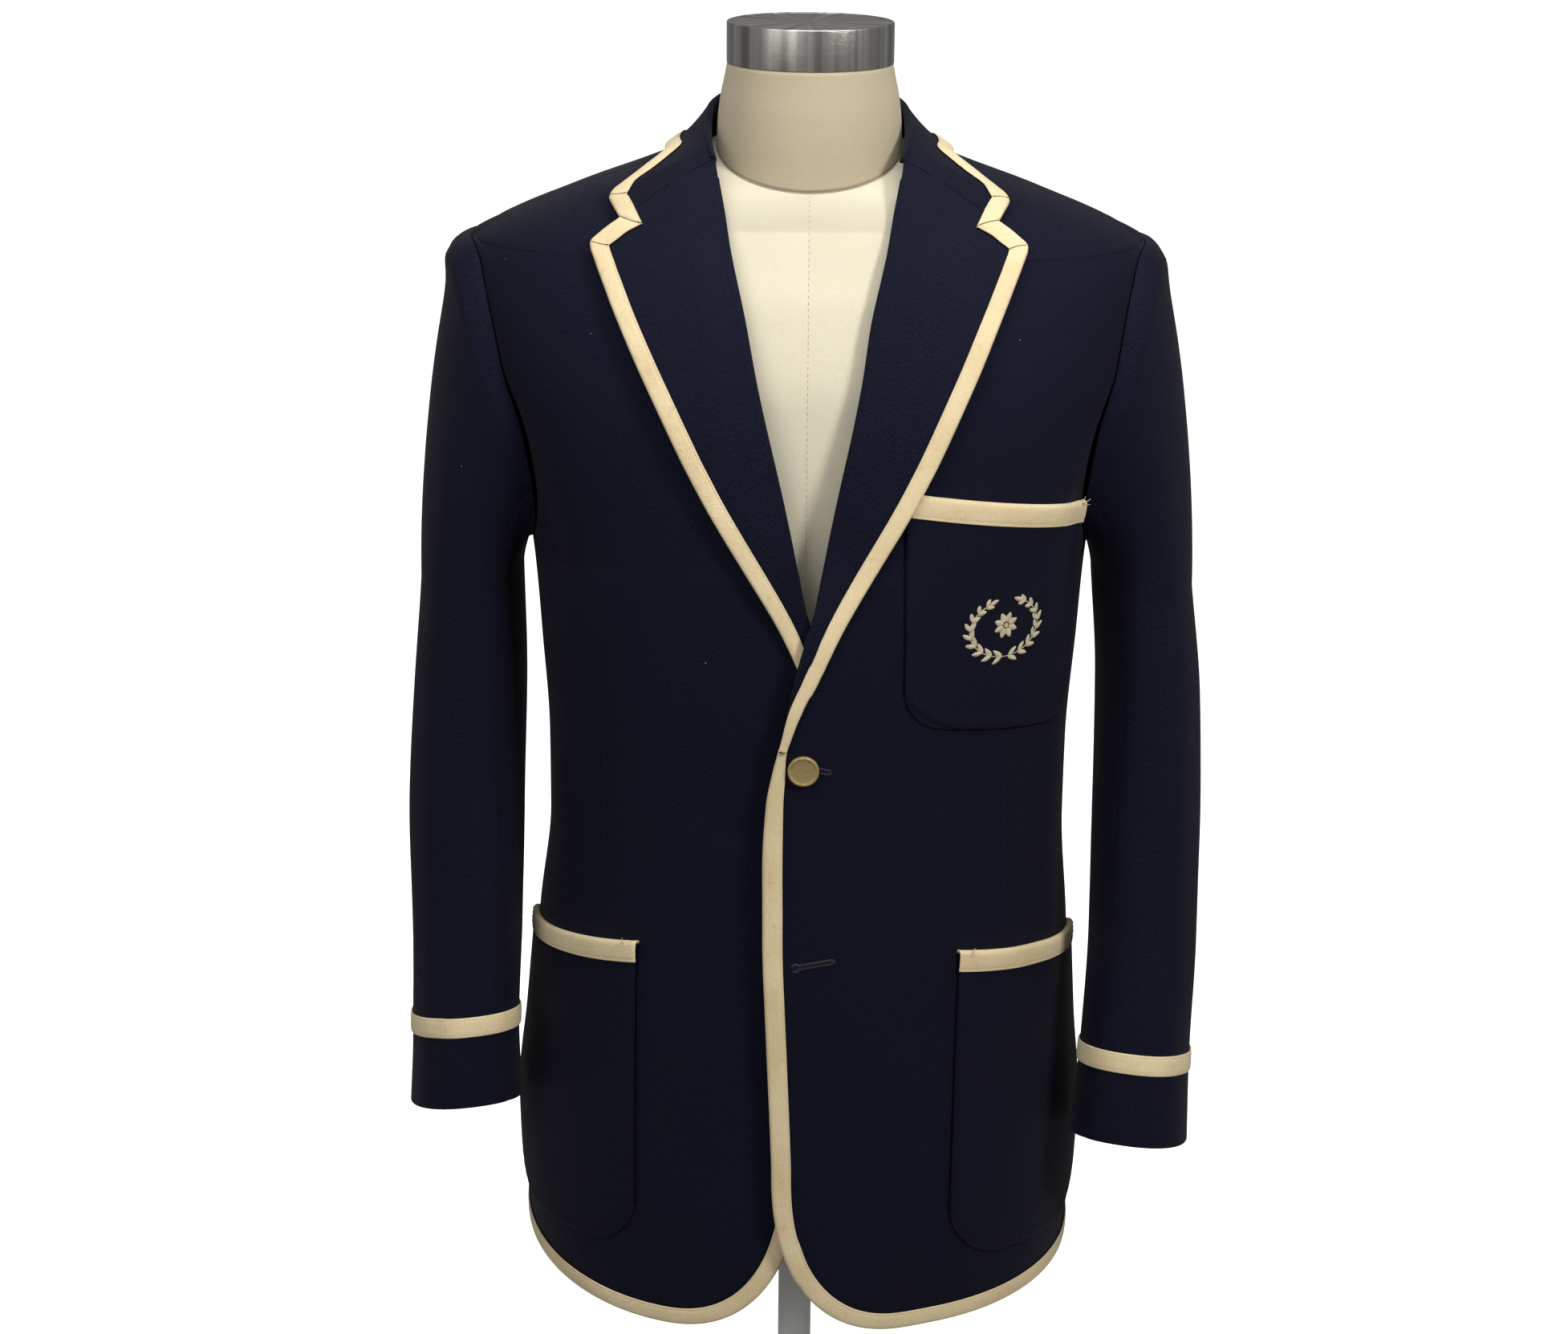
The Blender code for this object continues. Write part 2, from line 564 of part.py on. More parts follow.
def armhole_point(side, angle):
    """Start of the sleeve, a seam's width inside the armhole."""
    angle %= 2 * math.pi
    height = ARMHOLE_MIDDLE + ARMHOLE_HALF * math.cos(angle)
    face = "front" if angle < math.pi else "back"
    gap = 1.5 * SEAM * math.sin(angle)
    across = across_at(armhole_turn(height, face), height) + gap
    point = on_cloth(SIGN[side] * across, height)
    return point + Vector((0, 0, -SEAM * math.cos(angle) * 1.4))


def sleeve_point(side, angle, height):
    """Point of a sleeve's outer face; angle 0 is outermost, a quarter turn is in front."""
    table = SLEEVE[side]
    def value(name):
        return table.read(name, height)
    out = value("half_out") * math.copysign(abs(math.cos(angle)) ** SLEEVE_POWER, math.cos(angle))
    deep = value("half_deep") * math.copysign(abs(math.sin(angle)) ** SLEEVE_POWER, math.sin(angle))
    twist = math.radians(value("twist"))
    x = value("out") + out * math.cos(twist) - deep * math.sin(twist)
    ahead = deep * math.cos(twist) + out * math.sin(twist)
    tilt = ease((CUFF_TILT_TOP - height) / CUFF_TILT_REACH)
    rise = (CUFF_TILT * ahead - CUFF_LEAN * (x - value("out"))) * tilt
    return Vector((SIGN[side] * x, -value("forward") - ahead, height + rise))


def sleeve_rows(side, angles):
    """Rows from the cuff up to the armhole."""
    cuff = SLEEVE[side].at[0]
    band = cuff + CUFF_BAND_ABOVE_EDGE
    levels = [cuff, band - 0.002, band + 0.018, *SLEEVE_LEVELS, SLEEVE_HEAD_BOTTOM]
    rows = [[sleeve_point(side, angle, level) for angle in angles] for level in levels]
    for part in SLEEVE_HEAD_PARTS:
        row = []
        for angle in angles:
            start, end = armhole_point(side, angle), sleeve_point(side, angle, SLEEVE_HEAD_BOTTOM)
            top = (1 + math.cos(angle)) / 2
            outward = Vector((SIGN[side], -0.35 * math.sin(angle), 0.30 * top)).normalized()
            leave = outward * mix(*HEAD_LEAVE, top ** 0.6)
            arrive = Vector((0, 0, -mix(*HEAD_ARRIVE, top)))
            square, cube = part * part, part ** 3
            row.append(start * (2 * cube - 3 * square + 1) + leave * (cube - 2 * square + part)
                       + end * (3 * square - 2 * cube) + arrive * (cube - square))
        rows.append(row)
    return rows


def sleeve(side):
    first, last = UNDER_SLEEVE_STEPS
    for name, angles in (("sleeve_under_", sleeve_angles(first, last)),
                         ("sleeve_top_", sleeve_angles(last - 2 * ARMHOLE_STEPS, first))):
        rows = [list(reversed(row)) for row in sleeve_rows(side, angles)]
        loft(name + side, leftwards(side, rows), navy, CLOTH)


def cuff_tape(side):
    """Flat band of tape round a sleeve, above its hem."""
    bottom = SLEEVE[side].at[0] + CUFF_BAND_ABOVE_EDGE
    angles = [math.pi * k / ARMHOLE_STEPS for k in range(2 * ARMHOLE_STEPS, 0, -1)]
    rows = []
    for level in (bottom, bottom + POCKET_TAPE_WIDTH):
        row = []
        for angle in angles:
            point = sleeve_point(side, angle, level)
            before, after = (sleeve_point(side, angle + turn, level) for turn in (-0.05, 0.05))
            outward = (after - before).cross(Vector((0, 0, 1))).normalized() * -SIGN[side]
            row.append(point + outward * SPRUNG_TAPE)
        rows.append(row)
    loft("cuff_tape_" + side, leftwards(side, rows), cream, TAPE, ring=True)


# ---- tapes that follow an edge ----

def edge_strip(path):
    """Inner points of the edge tape, mitred at the corners of an (across, height) path."""
    inner = []
    for k, here in enumerate(path):
        before, after = path[max(k - 1, 0)], path[min(k + 1, len(path) - 1)]
        one = Vector(here) - Vector(before) if k else Vector(after) - Vector(here)
        two = Vector(after) - Vector(here) if k < len(path) - 1 else one
        one, two = one.normalized(), two.normalized()
        side_one, side_two = Vector((-one.y, one.x)), Vector((-two.y, two.x))
        across = (side_one + side_two).normalized()
        width = EDGE_TAPE.read("width", here[1])
        inner.append(Vector(here) + across * (width / max(across.dot(side_one), 0.3)))
    return inner


def tape_along(name, side, path, lift):
    """Tape on a front; the path runs with the cloth on its left hand side, seen from its own side."""
    outer, inner = path, edge_strip(path)
    rows = []
    for share in (0.0, 1.0):
        row = []
        for a, b in zip(outer, inner):
            across, height = mix(a[0], b[0], share), mix(a[1], b[1], share)
            row.append(front_point(side, across, height, lift(across, height)))
        rows.append(row)
    if side == "right":
        rows.reverse()
    return loft(name, rows, cream, TAPE)


def front_tape(side):
    """Tape down the front edge, round the corner and along the hem to the side seam."""
    heights = [0.655, 0.640] + [0.620 - 0.025 * k for k in range(11)] + [0.357]
    path = [(front_edge(side, height), height) for height in heights]
    path += [hem_point(side, 0.45 * k / 11) for k in range(12)]
    path += [hem_point(side, 0.45 + 0.55 * k / 10) for k in range(1, 11)]
    tape_along("tape_front_" + side, side, path, lambda across, height: TAPE_LIFT)


def lapel_tape(side):
    """Tape along the lapel's top from the notch, round the tip and down to the break."""
    path = [lapel_top(part) for part in (0.775, 0.88, 1.0)]
    heights = [LAPEL_TIP - (LAPEL_TIP - 0.6585) * k / 15 for k in range(1, 16)]
    path += [(LAPEL_EDGE.read("across", height), height) for height in heights]
    path.reverse()
    tape_along("tape_lapel_" + side, side, path,
               lambda across, height: lapel_lift(across, height) + SPRUNG_TAPE)


def back_tape():
    """Tape along the back hem between the side seams."""
    rows = []
    for width in (0.0, EDGE_TAPE.read("width", HEM_BACK)):
        row = []
        for k in range(25):
            share = k / 24
            side = "left" if share < 0.5 else "right"
            level = mix(HEM_SIDE[side], HEM_BACK, ease(1 - abs(2 * share - 1))) + width
            turn = mix(SEAM_TURN, 2 * math.pi - SEAM_TURN, share)
            turn += 0.0016 if k == 0 else -0.0016 if k == 24 else 0
            row.append(lifted(turn if turn <= math.pi else turn - 2 * math.pi, level, TAPE_LIFT))
        rows.append(row)
    loft("tape_back", rows, cream, TAPE)


def collar_tape():
    """Tape round the collar's free edge, notch to notch."""
    rows = [[], []]
    steps = [(8.0, 1)] + [(rib, 1) for rib in reversed(COLLAR_RIBS)] + [(0.0, 1)]
    steps += [(rib, -1) for rib, _ in reversed(steps[:-1])]
    edges, ribs = [], []
    for rib, sign in steps:
        side = "left" if sign > 0 else "right"
        points = gorge_rib(side) if rib == 8.0 else collar_rib(rib, sign)
        edges.append(points[0])
        ribs.append(points)
    for k, (edge, points) in enumerate(zip(edges, ribs)):
        before, after = edges[max(k - 1, 0)], edges[min(k + 1, len(edges) - 1)]
        down = (points[1] - edge).normalized()
        along = (after - before).normalized()
        corner = steps[k][0] == COLLAR_TIP_RIB
        angle = max(math.sqrt(max(1 - down.dot(along) ** 2, 0)), 0.62)
        reach = COLLAR_TAPE_WIDTH * (1.45 if corner else 1 / angle)
        out = along.cross(down).normalized()
        if out.dot(Vector((edge.x, edge.y, 0.12))) < 0:
            out = -out
        lift = out * SPRUNG_TAPE
        rows[0].append(edge + lift)
        rows[1].append(edge + down * reach + lift + out * 0.0006)
    loft("tape_collar", rows, cream, TAPE)


# ---- pockets ----

def pocket_level(pocket, part, rise):
    """Across and height in a patch pocket, with round lower corners."""
    corner, width = pocket["corner"], pocket["width"]
    full = pocket["top"] - pocket["bottom"]
    from_bottom = rise * full
    inset = 0.0
    if from_bottom < corner:
        inset = corner - math.sqrt(corner ** 2 - (corner - from_bottom) ** 2)
    across = mix(inset, width - inset, part)
    drop = mix(pocket["bottom_slant"], pocket["mouth_slant"], rise) * across
    return pocket["front"] + across, pocket["bottom"] + from_bottom - drop


def patch_pocket(name):
    """A patch pocket, and the tape along its mouth."""
    pocket = POCKETS[name]
    full, corner = pocket["top"] - pocket["bottom"], pocket["corner"]
    rises = [corner * (1 - math.cos(math.radians(angle))) / full for angle in (0, 22, 45, 67, 90)]
    rises += [mix(corner / full, 1.0, k / 5) for k in range(1, 6)]
    rows = []
    for rise in rises:
        row = []
        for k in range(8):
            across, height = pocket_level(pocket, k / 7, rise)
            row.append(front_point(pocket["side"], across, height, POCKET_LIFT))
        rows.append(row)
    loft(name, leftwards(pocket["side"], rows), navy, CLOTH)
    rows = []
    for rise in (1 - POCKET_TAPE_WIDTH / full, 1.0):
        row = []
        for k in range(11):
            across, height = pocket_level(pocket, mix(-0.004, 1.004, k / 10), rise)
            row.append(front_point(pocket["side"], across, height, POCKET_LIFT + TAPE_LIFT))
        rows.append(row)
    loft("tape_" + name, leftwards(pocket["side"], rows), cream, TAPE)


# ---- button ----

def button():
    """Flat metal disc lying on the left front, square to the cloth, on a short shank."""
    place = ("left", BUTTON_ACROSS, BUTTON_HEIGHT)
    middle = front_point(*place, BUTTON_LIFT + BUTTON_THICKNESS / 2)
    outward = (front_point(*place, 0.01) - front_point(*place)).normalized()
    shank_foot = -0.5 - (BUTTON_LIFT + SHANK_SUNK) / BUTTON_THICKNESS
    profile = BUTTON_FACE + [(SHANK_SHARE, -0.5), (SHANK_SHARE, shank_foot), (0.0, shank_foot)]
    disc = bmesh.new()
    points = [disc.verts.new((radius * BUTTON_RADIUS, 0, rise * BUTTON_THICKNESS))
              for radius, rise in profile]
    for low, high in zip(points, points[1:]):
        disc.edges.new((low, high))
    mesh = bpy.data.meshes.new("button")
    disc.to_mesh(mesh)
    disc.free()
    made = add_object("button", mesh, brass)
    turned = made.modifiers.new("turned", "SCREW")
    turned.steps = turned.render_steps = 20
    turned.use_merge_vertices = True
    turned.merge_threshold = 0.00005
    made.location = middle
    made.rotation_euler = outward.to_track_quat("Z", "Y").to_euler()


# ---- dress form ----

FORM_TURNS = [2 * math.pi * k / 26 for k in range(26)]


def neck_seam(turn, gap=0.0):
    """Point of the slanted seam between the form's torso and its neck."""
    x, y = NECK_SEAM_RADIUS * math.sin(turn), -NECK_SEAM_RADIUS * math.cos(turn)
    return Vector((x + 0.001, y, NECK_SEAM_HEIGHT + NECK_SEAM_TILT * y + gap))


def form_torso():
    """Limbless torso: level sections up to the shoulders, then closing in to the neck seam."""
    levels = [FORM_BOTTOM, 0.366, 0.42, 0.50, 0.59, 0.68, 0.76, 0.82, 0.87, 0.91, 0.94, 0.96, 0.975, 0.9882]
    rows = []
    for level in levels:
        inset = 0.006 if level == FORM_BOTTOM else 0.0
        row = []
        for turn in FORM_TURNS:
            point = section_point(FORM, turn, level)
            row.append(point - Vector((point.x, point.y, 0)).normalized() * inset)
        rows.append(row)
    for part in (0.22, 0.42, 0.60, 0.78, 0.90, 1.0):
        row = []
        for turn in FORM_TURNS:
            seam = neck_seam(turn)
            point = section_point(FORM, turn, min(mix(levels[-1], seam.z, part), FORM.at[-1]))
            point.z = mix(levels[-1], seam.z, part)
            row.append(mix(point, Vector((seam.x, seam.y, point.z)), part ** 4))
        rows.append(row)
    loft("form_torso", rows, linen, ring=True, capped=True)


def form_neck():
    """Covered neck between the torso's seam and the cap."""
    rows = []
    for part in (0.0, 0.3, 0.6, 0.85, 1.0):
        radius = NECK.read("radius", part)
        row = []
        for turn in FORM_TURNS:
            foot = neck_seam(turn, SEAM)
            top = CAP_BOTTOM - SEAM
            row.append(Vector((radius * math.sin(turn) + 0.001, -radius * math.cos(turn),
                               mix(foot.z, top, part))))
        rows.append(row)
    loft("form_neck", rows, neck_linen, ring=True, capped=True)


def turned_solid(name, profile, finish, steps):
    """Solid of revolution round the form's axis; the profile runs down its outer side."""
    outline = bmesh.new()
    points = [outline.verts.new((radius, 0, height)) for radius, height in profile]
    for high, low in zip(points, points[1:]):
        outline.edges.new((high, low))
    mesh = bpy.data.meshes.new(name)
    outline.to_mesh(mesh)
    outline.free()
    made = add_object(name, mesh, finish)
    turned = made.modifiers.new("turned", "SCREW")
    turned.steps = turned.render_steps = steps
    turned.use_merge_vertices = True
    turned.merge_threshold = 0.00005
    return made


def stand():
    """Metal cap on the neck, and the pole with its floor plate."""
    rim = 0.0015
    cap = turned_solid("neck_cap", [
        (0, CAP_TOP), (CAP_RADIUS - rim, CAP_TOP), (CAP_RADIUS, CAP_TOP - rim), (CAP_RADIUS, CAP_BOTTOM),
        (0, CAP_BOTTOM)], steel, 40)
    cap.location.x = 0.001
    turned_solid("stand", [
        (0, FORM_BOTTOM - SEAM), (POLE_RADIUS, FORM_BOTTOM - SEAM), (POLE_RADIUS, FLOOR_PLATE_HEIGHT),
        (FLOOR_PLATE_RADIUS - 0.004, FLOOR_PLATE_HEIGHT), (FLOOR_PLATE_RADIUS, FLOOR_PLATE_HEIGHT - 0.004),
        (FLOOR_PLATE_RADIUS, 0), (0, 0)], painted, 48)


def main():
    for leftover in list(bpy.data.objects):
        bpy.data.objects.remove(leftover)
    bpy.context.scene.collection.children.link(blazer)
    for side in ("left", "right"):
        front(side)
        back(side)
        lapel(side)
        sleeve(side)
        cuff_tape(side)
        front_tape(side)
        lapel_tape(side)
    collar()
    collar_tape()
    back_tape()
    for name in POCKETS:
        patch_pocket(name)
    button()
    form_torso()
    form_neck()
    stand()


main()
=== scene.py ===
"""Two-button rowing blazer in navy worsted, bound in cream tape, on a limbless linen dress form."""
import math

import bpy
import numpy as np
from mathutils import Matrix, Vector
from mathutils.bvhtree import BVHTree


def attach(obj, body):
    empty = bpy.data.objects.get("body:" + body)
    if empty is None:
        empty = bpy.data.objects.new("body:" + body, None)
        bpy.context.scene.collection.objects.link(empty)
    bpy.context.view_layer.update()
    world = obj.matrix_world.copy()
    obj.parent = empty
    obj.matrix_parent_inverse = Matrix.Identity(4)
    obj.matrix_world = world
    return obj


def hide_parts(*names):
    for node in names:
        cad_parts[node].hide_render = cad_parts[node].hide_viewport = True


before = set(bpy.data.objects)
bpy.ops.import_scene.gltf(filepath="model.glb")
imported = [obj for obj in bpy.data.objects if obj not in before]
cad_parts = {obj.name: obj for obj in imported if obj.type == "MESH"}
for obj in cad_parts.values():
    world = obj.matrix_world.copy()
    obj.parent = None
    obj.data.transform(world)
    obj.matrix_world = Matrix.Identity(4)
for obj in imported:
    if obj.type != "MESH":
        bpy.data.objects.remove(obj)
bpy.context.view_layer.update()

# ==== Studio ====
# A pale floor that runs far back, so that it fills the view behind the form, and soft light: a large
# key from the wearer's left and above, a weaker fill from the other side, and an even white sky.
CAMERA_PLACE = (-0.0127, -2.0000, 1.3300)
CAMERA_PITCH, CAMERA_ROLL = math.radians(18.47), math.radians(0.55)
CAMERA_FOCAL_PIXELS, PHOTO_WIDTH = 3683, 1954
SENSOR = 36.0
FLOOR_WHITE, FLOOR_GLOW, SKY_STRENGTH = 0.93, 1.0, 0.20
LIGHTS_AIM = (0, 0, 0.75)
SOFT_LIGHTS = {                 # place, width, watts
    "key": ((1.5, -1.6, 2.30), 0.55, 46),
    "fill": ((-1.4, -1.9, 2.0), 1.8, 27),
    "top": ((0.0, -0.4, 2.2), 1.2, 15),
}


def placed(name, data):
    """Object in the scene, from its data."""
    made = bpy.data.objects.new(name, data)
    bpy.context.scene.collection.objects.link(made)
    return made


camera = placed("camera", bpy.data.cameras.new("camera"))
camera.data.sensor_width = SENSOR
camera.data.lens = CAMERA_FOCAL_PIXELS / PHOTO_WIDTH * SENSOR
camera.matrix_world = (Matrix.Translation(CAMERA_PLACE)
                       @ Matrix.Rotation(math.pi / 2 - CAMERA_PITCH, 4, "X")
                       @ Matrix.Rotation(CAMERA_ROLL, 4, "Z"))
bpy.context.scene.camera = camera

for light_name, (place, width, watts) in SOFT_LIGHTS.items():
    lamp = bpy.data.lights.new(light_name, "AREA")
    lamp.size, lamp.energy = width, watts
    light = placed(light_name, lamp)
    light.location = place
    light.rotation_euler = (Vector(LIGHTS_AIM) - light.location).to_track_quat("-Z", "Y").to_euler()

sky = bpy.data.worlds.new("even white sky")
sky.use_nodes = True
sky.node_tree.nodes["Background"].inputs["Color"].default_value = (1.0, 1.0, 1.0, 1)
sky.node_tree.nodes["Background"].inputs["Strength"].default_value = SKY_STRENGTH
bpy.context.scene.world = sky
bpy.context.scene.view_settings.view_transform = "Standard"


def new_material(name, colour, roughness, metallic=0.0):
    """Material with a Principled shader, and that shader."""
    made = bpy.data.materials.new(name)
    made.use_nodes = True
    shader = made.node_tree.nodes["Principled BSDF"]
    shader.inputs["Base Color"].default_value = (*colour, 1)
    shader.inputs["Roughness"].default_value = roughness
    shader.inputs["Metallic"].default_value = metallic
    return made, shader


def new_piece(name, points, faces, finish):
    """Object at the origin from plain points and faces."""
    mesh = bpy.data.meshes.new(name)
    mesh.from_pydata([tuple(point) for point in points], [], faces)
    mesh.materials.append(finish)
    return placed(name, mesh)


floor_white, floor_shader = new_material("floor_white", (FLOOR_WHITE, FLOOR_WHITE, FLOOR_WHITE), 0.9)
floor_shader.inputs["Emission Color"].default_value = (1, 1, 1, 1)
floor_shader.inputs["Emission Strength"].default_value = FLOOR_GLOW
floor_corners = [(-30, -8, 0), (30, -8, 0), (30, 60, 0), (-30, 60, 0)]
floor = new_piece("floor", floor_corners, [(0, 1, 2, 3)], floor_white)
floor.visible_diffuse = False
floor.visible_glossy = False


# ==== Stand ====
# Round weighted base and steel tube that carry the form, both powder coated in off-white. The tube is
# welded into the base and goes up into the form's underside.
BASE_RADIUS, BASE_HEIGHT, BASE_EDGE = 0.160, 0.012, 0.004
POLE_RADIUS, WELD = 0.0125, 0.0015
FORM_BOTTOM, SEAM = 0.360, 0.0003
TURNED_STEPS = 96


def link(tree, output, target):
    tree.links.new(output, target)


def feed(tree, value, target):
    """Input of a node, fed by a socket, a number or red, green and blue."""
    if isinstance(value, bpy.types.NodeSocket):
        link(tree, value, target)
    else:
        target.default_value = (*value, 1) if isinstance(value, tuple) else value


def math_node(tree, operation, *values, clamp=False):
    node = tree.nodes.new("ShaderNodeMath")
    node.operation, node.use_clamp = operation, clamp
    for target, value in zip(node.inputs, values):
        feed(tree, value, target)
    return node.outputs[0]


def colour_mix(tree, factor, low, high, blend="MIX"):
    node = tree.nodes.new("ShaderNodeMix")
    node.data_type, node.blend_type = "RGBA", blend
    for k, value in ((0, factor), (6, low), (7, high)):
        feed(tree, value, node.inputs[k])
    return node.outputs[2]


def noise_node(tree, vector, scale, detail=3.0):
    node = tree.nodes.new("ShaderNodeTexNoise")
    node.inputs["Scale"].default_value = scale
    node.inputs["Detail"].default_value = detail
    link(tree, vector, node.inputs["Vector"])
    return node.outputs["Fac"]


def bump_node(tree, height, distance, strength=1.0):
    node = tree.nodes.new("ShaderNodeBump")
    node.inputs["Distance"].default_value = distance
    node.inputs["Strength"].default_value = strength
    link(tree, height, node.inputs["Height"])
    return node.outputs["Normal"]


def coordinates(tree, kind="Object"):
    return tree.nodes.new("ShaderNodeTexCoord").outputs[kind]


def made_mesh(holder):
    """Plain mesh that an object's modifiers make; the object itself is taken away."""
    graph = bpy.context.evaluated_depsgraph_get()
    mesh = bpy.data.meshes.new_from_object(holder.evaluated_get(graph))
    bpy.data.objects.remove(holder)
    return mesh


def fitted(piece, slot, *nodes):
    """The piece fixed to the form, with the CAD nodes that it takes the place of hidden. Its slot is not
    used.
    """
    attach(piece, "root")
    if nodes:
        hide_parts(*nodes)


def turned_piece(name, profile, finish, centre=0.0, rounding=0.0008):
    """Solid of revolution round the form's axis; the profile runs down its outer side."""
    outline = bpy.data.meshes.new(name)
    outline.from_pydata([(radius, 0, height) for radius, height in profile],
                        [(k, k + 1) for k in range(len(profile) - 1)], [])
    turned = placed(name, outline)
    screw = turned.modifiers.new("turned", "SCREW")
    screw.steps = screw.render_steps = TURNED_STEPS
    screw.use_merge_vertices = True
    screw.merge_threshold = 0.00005
    edges = turned.modifiers.new("soft edges", "BEVEL")
    edges.width, edges.segments, edges.limit_method = rounding, 3, "ANGLE"
    mesh = made_mesh(turned)
    mesh.transform(Matrix.Translation((centre, 0, 0)))
    mesh.materials.clear()
    mesh.materials.append(finish)
    mesh.shade_smooth()
    mesh.set_sharp_from_angle(angle=math.radians(40))
    return placed(name, mesh)


powder_coat, shader = new_material("powder_coat", (0.80, 0.79, 0.76), 0.5)
tree = powder_coat.node_tree
place = coordinates(tree)
orange_peel = noise_node(tree, place, 900.0)
link(tree, bump_node(tree, orange_peel, 0.0002, 0.5), shader.inputs["Normal"])
scuffs = math_node(tree, "SUBTRACT", noise_node(tree, place, 28.0, 6.0), 0.42, clamp=True)
link(tree, colour_mix(tree, scuffs, (0.82, 0.81, 0.78), (0.62, 0.60, 0.56)), shader.inputs["Base Color"])

stand = turned_piece("stand_coated", [
    (0, FORM_BOTTOM - SEAM), (POLE_RADIUS, FORM_BOTTOM - SEAM), (POLE_RADIUS, BASE_HEIGHT + WELD),
    (POLE_RADIUS + WELD, BASE_HEIGHT), (BASE_RADIUS - BASE_EDGE, BASE_HEIGHT),
    (BASE_RADIUS, BASE_HEIGHT - BASE_EDGE), (BASE_RADIUS, 0), (0, 0)], powder_coat)
fitted(stand, "painted_metal", "stand")


# ==== Torso of the dress form ====
# Limbless padded torso under stretched cream linen, sewn from two halves that meet down the middle of
# the front. It is clear of the blazer except at the shoulders, which carry it.
LINEN_THREAD = 0.0007
NECK_SEAM_HEIGHT, NECK_SEAM_TILT, NECK_SEAM_RADIUS = 1.033, 0.36, 0.0625
FORM_MIDDLE = 0.001
TORSO_ROWS, TORSO_COLUMNS, SHOULDER_ROWS = 120, 112, 26
FOOT_ROUND, FOOT_INSET = 0.014, 0.009
SEAM_DIP, SEAM_HALF_WIDTH, NECK_TUCK = 0.0006, 0.0022, 0.0008


class Sections:
    """A short table, read by its first column along a smooth curve through its rows."""

    def __init__(self, names, *rows):
        table = np.array(rows, float)
        self.at = table[:, 0]
        self.columns = {name: table[:, k] for k, name in enumerate(names.split())}
        self.slopes = {name: self.slopes_of(values) for name, values in self.columns.items()}

    def slopes_of(self, values):
        """Slope at each row, level where the column turns back, so the curve never overshoots."""
        steps = np.diff(values) / np.diff(self.at)
        inner = [2 * a * b / (a + b) if a * b > 0 else 0.0 for a, b in zip(steps, steps[1:])]
        return np.array([steps[0], *inner, steps[-1]])

    def read(self, name, place):
        values, slopes = self.columns[name], self.slopes[name]
        place = np.clip(place, self.at[0], self.at[-1])
        k = np.clip(np.searchsorted(self.at, place) - 1, 0, len(self.at) - 2)
        step = self.at[k + 1] - self.at[k]
        t = (place - self.at[k]) / step
        blend = t * t * (3 - 2 * t)
        bend = step * t * (1 - t) * ((1 - t) * slopes[k] - t * slopes[k + 1])
        return values[k] * (1 - blend) + values[k + 1] * blend + bend


# Level sections of the torso: depths in front and at the back of where each is widest.
TORSO = Sections(
    "height half_width front  back   centre square shift",
    (0.360, 0.1700, 0.1100, 0.1120, 0.010, 2.20, 0.001),
    (0.450, 0.1700, 0.1130, 0.1120, 0.006, 2.20, 0.001),
    (0.590, 0.1560, 0.1120, 0.0930, 0.000, 2.20, 0.001),
    (0.700, 0.1660, 0.1240, 0.1080, 0.000, 2.30, 0.001),
    (0.800, 0.1760, 0.1290, 0.1200, 0.000, 2.40, 0.001),
    (0.880, 0.1850, 0.1250, 0.1240, 0.000, 2.40, 0.001),
    (0.940, 0.1960, 0.1090, 0.1180, 0.000, 2.40, 0.001),
    (0.965, 0.1990, 0.0970, 0.1110, 0.000, 2.40, 0.001),
    (0.9882, 0.1850, 0.0860, 0.1060, 0.000, 2.40, 0.001),
    (1.0022, 0.1560, 0.0770, 0.0990, 0.000, 2.40, 0.001),
    (1.0212, 0.1060, 0.0640, 0.0900, 0.000, 2.40, 0.001),
    (1.0352, 0.0730, 0.0540, 0.0800, 0.000, 2.40, 0.001),
)
TORSO_SHOULDER = 0.9882


def points_of(x, y, z):
    return np.stack(np.broadcast_arrays(x, y, z), axis=-1).astype(float)


def section_point(table, turn, height):
    """Points of level sections; turn is the angle from the centre front to the wearer's left."""
    power = 2 / table.read("square", height)
    centre = table.read("centre", height)
    sideways, forward = np.sin(turn), np.cos(turn)
    depth = np.where(forward > 0, table.read("front", height) + centre, table.read("back", height) - centre)
    x = table.read("half_width", height) * np.sign(sideways) * np.abs(sideways) ** power
    y = centre - depth * np.sign(forward) * np.abs(forward) ** power
    return points_of(x + table.read("shift", height), y, height)


def ease(t):
    """Smooth step from 0 to 1."""
    t = np.clip(t, 0.0, 1.0)
    return t * t * (3 - 2 * t)


def mix(low, high, part):
    return low + (high - low) * part


def lengths_along(points, axis):
    """Distance run along a grid's rows or columns, starting at 0."""
    steps = np.linalg.norm(np.diff(points, axis=axis), axis=-1)
    start = np.zeros_like(np.take(steps, [0], axis=axis))
    return np.concatenate([start, np.cumsum(steps, axis=axis)], axis=axis)


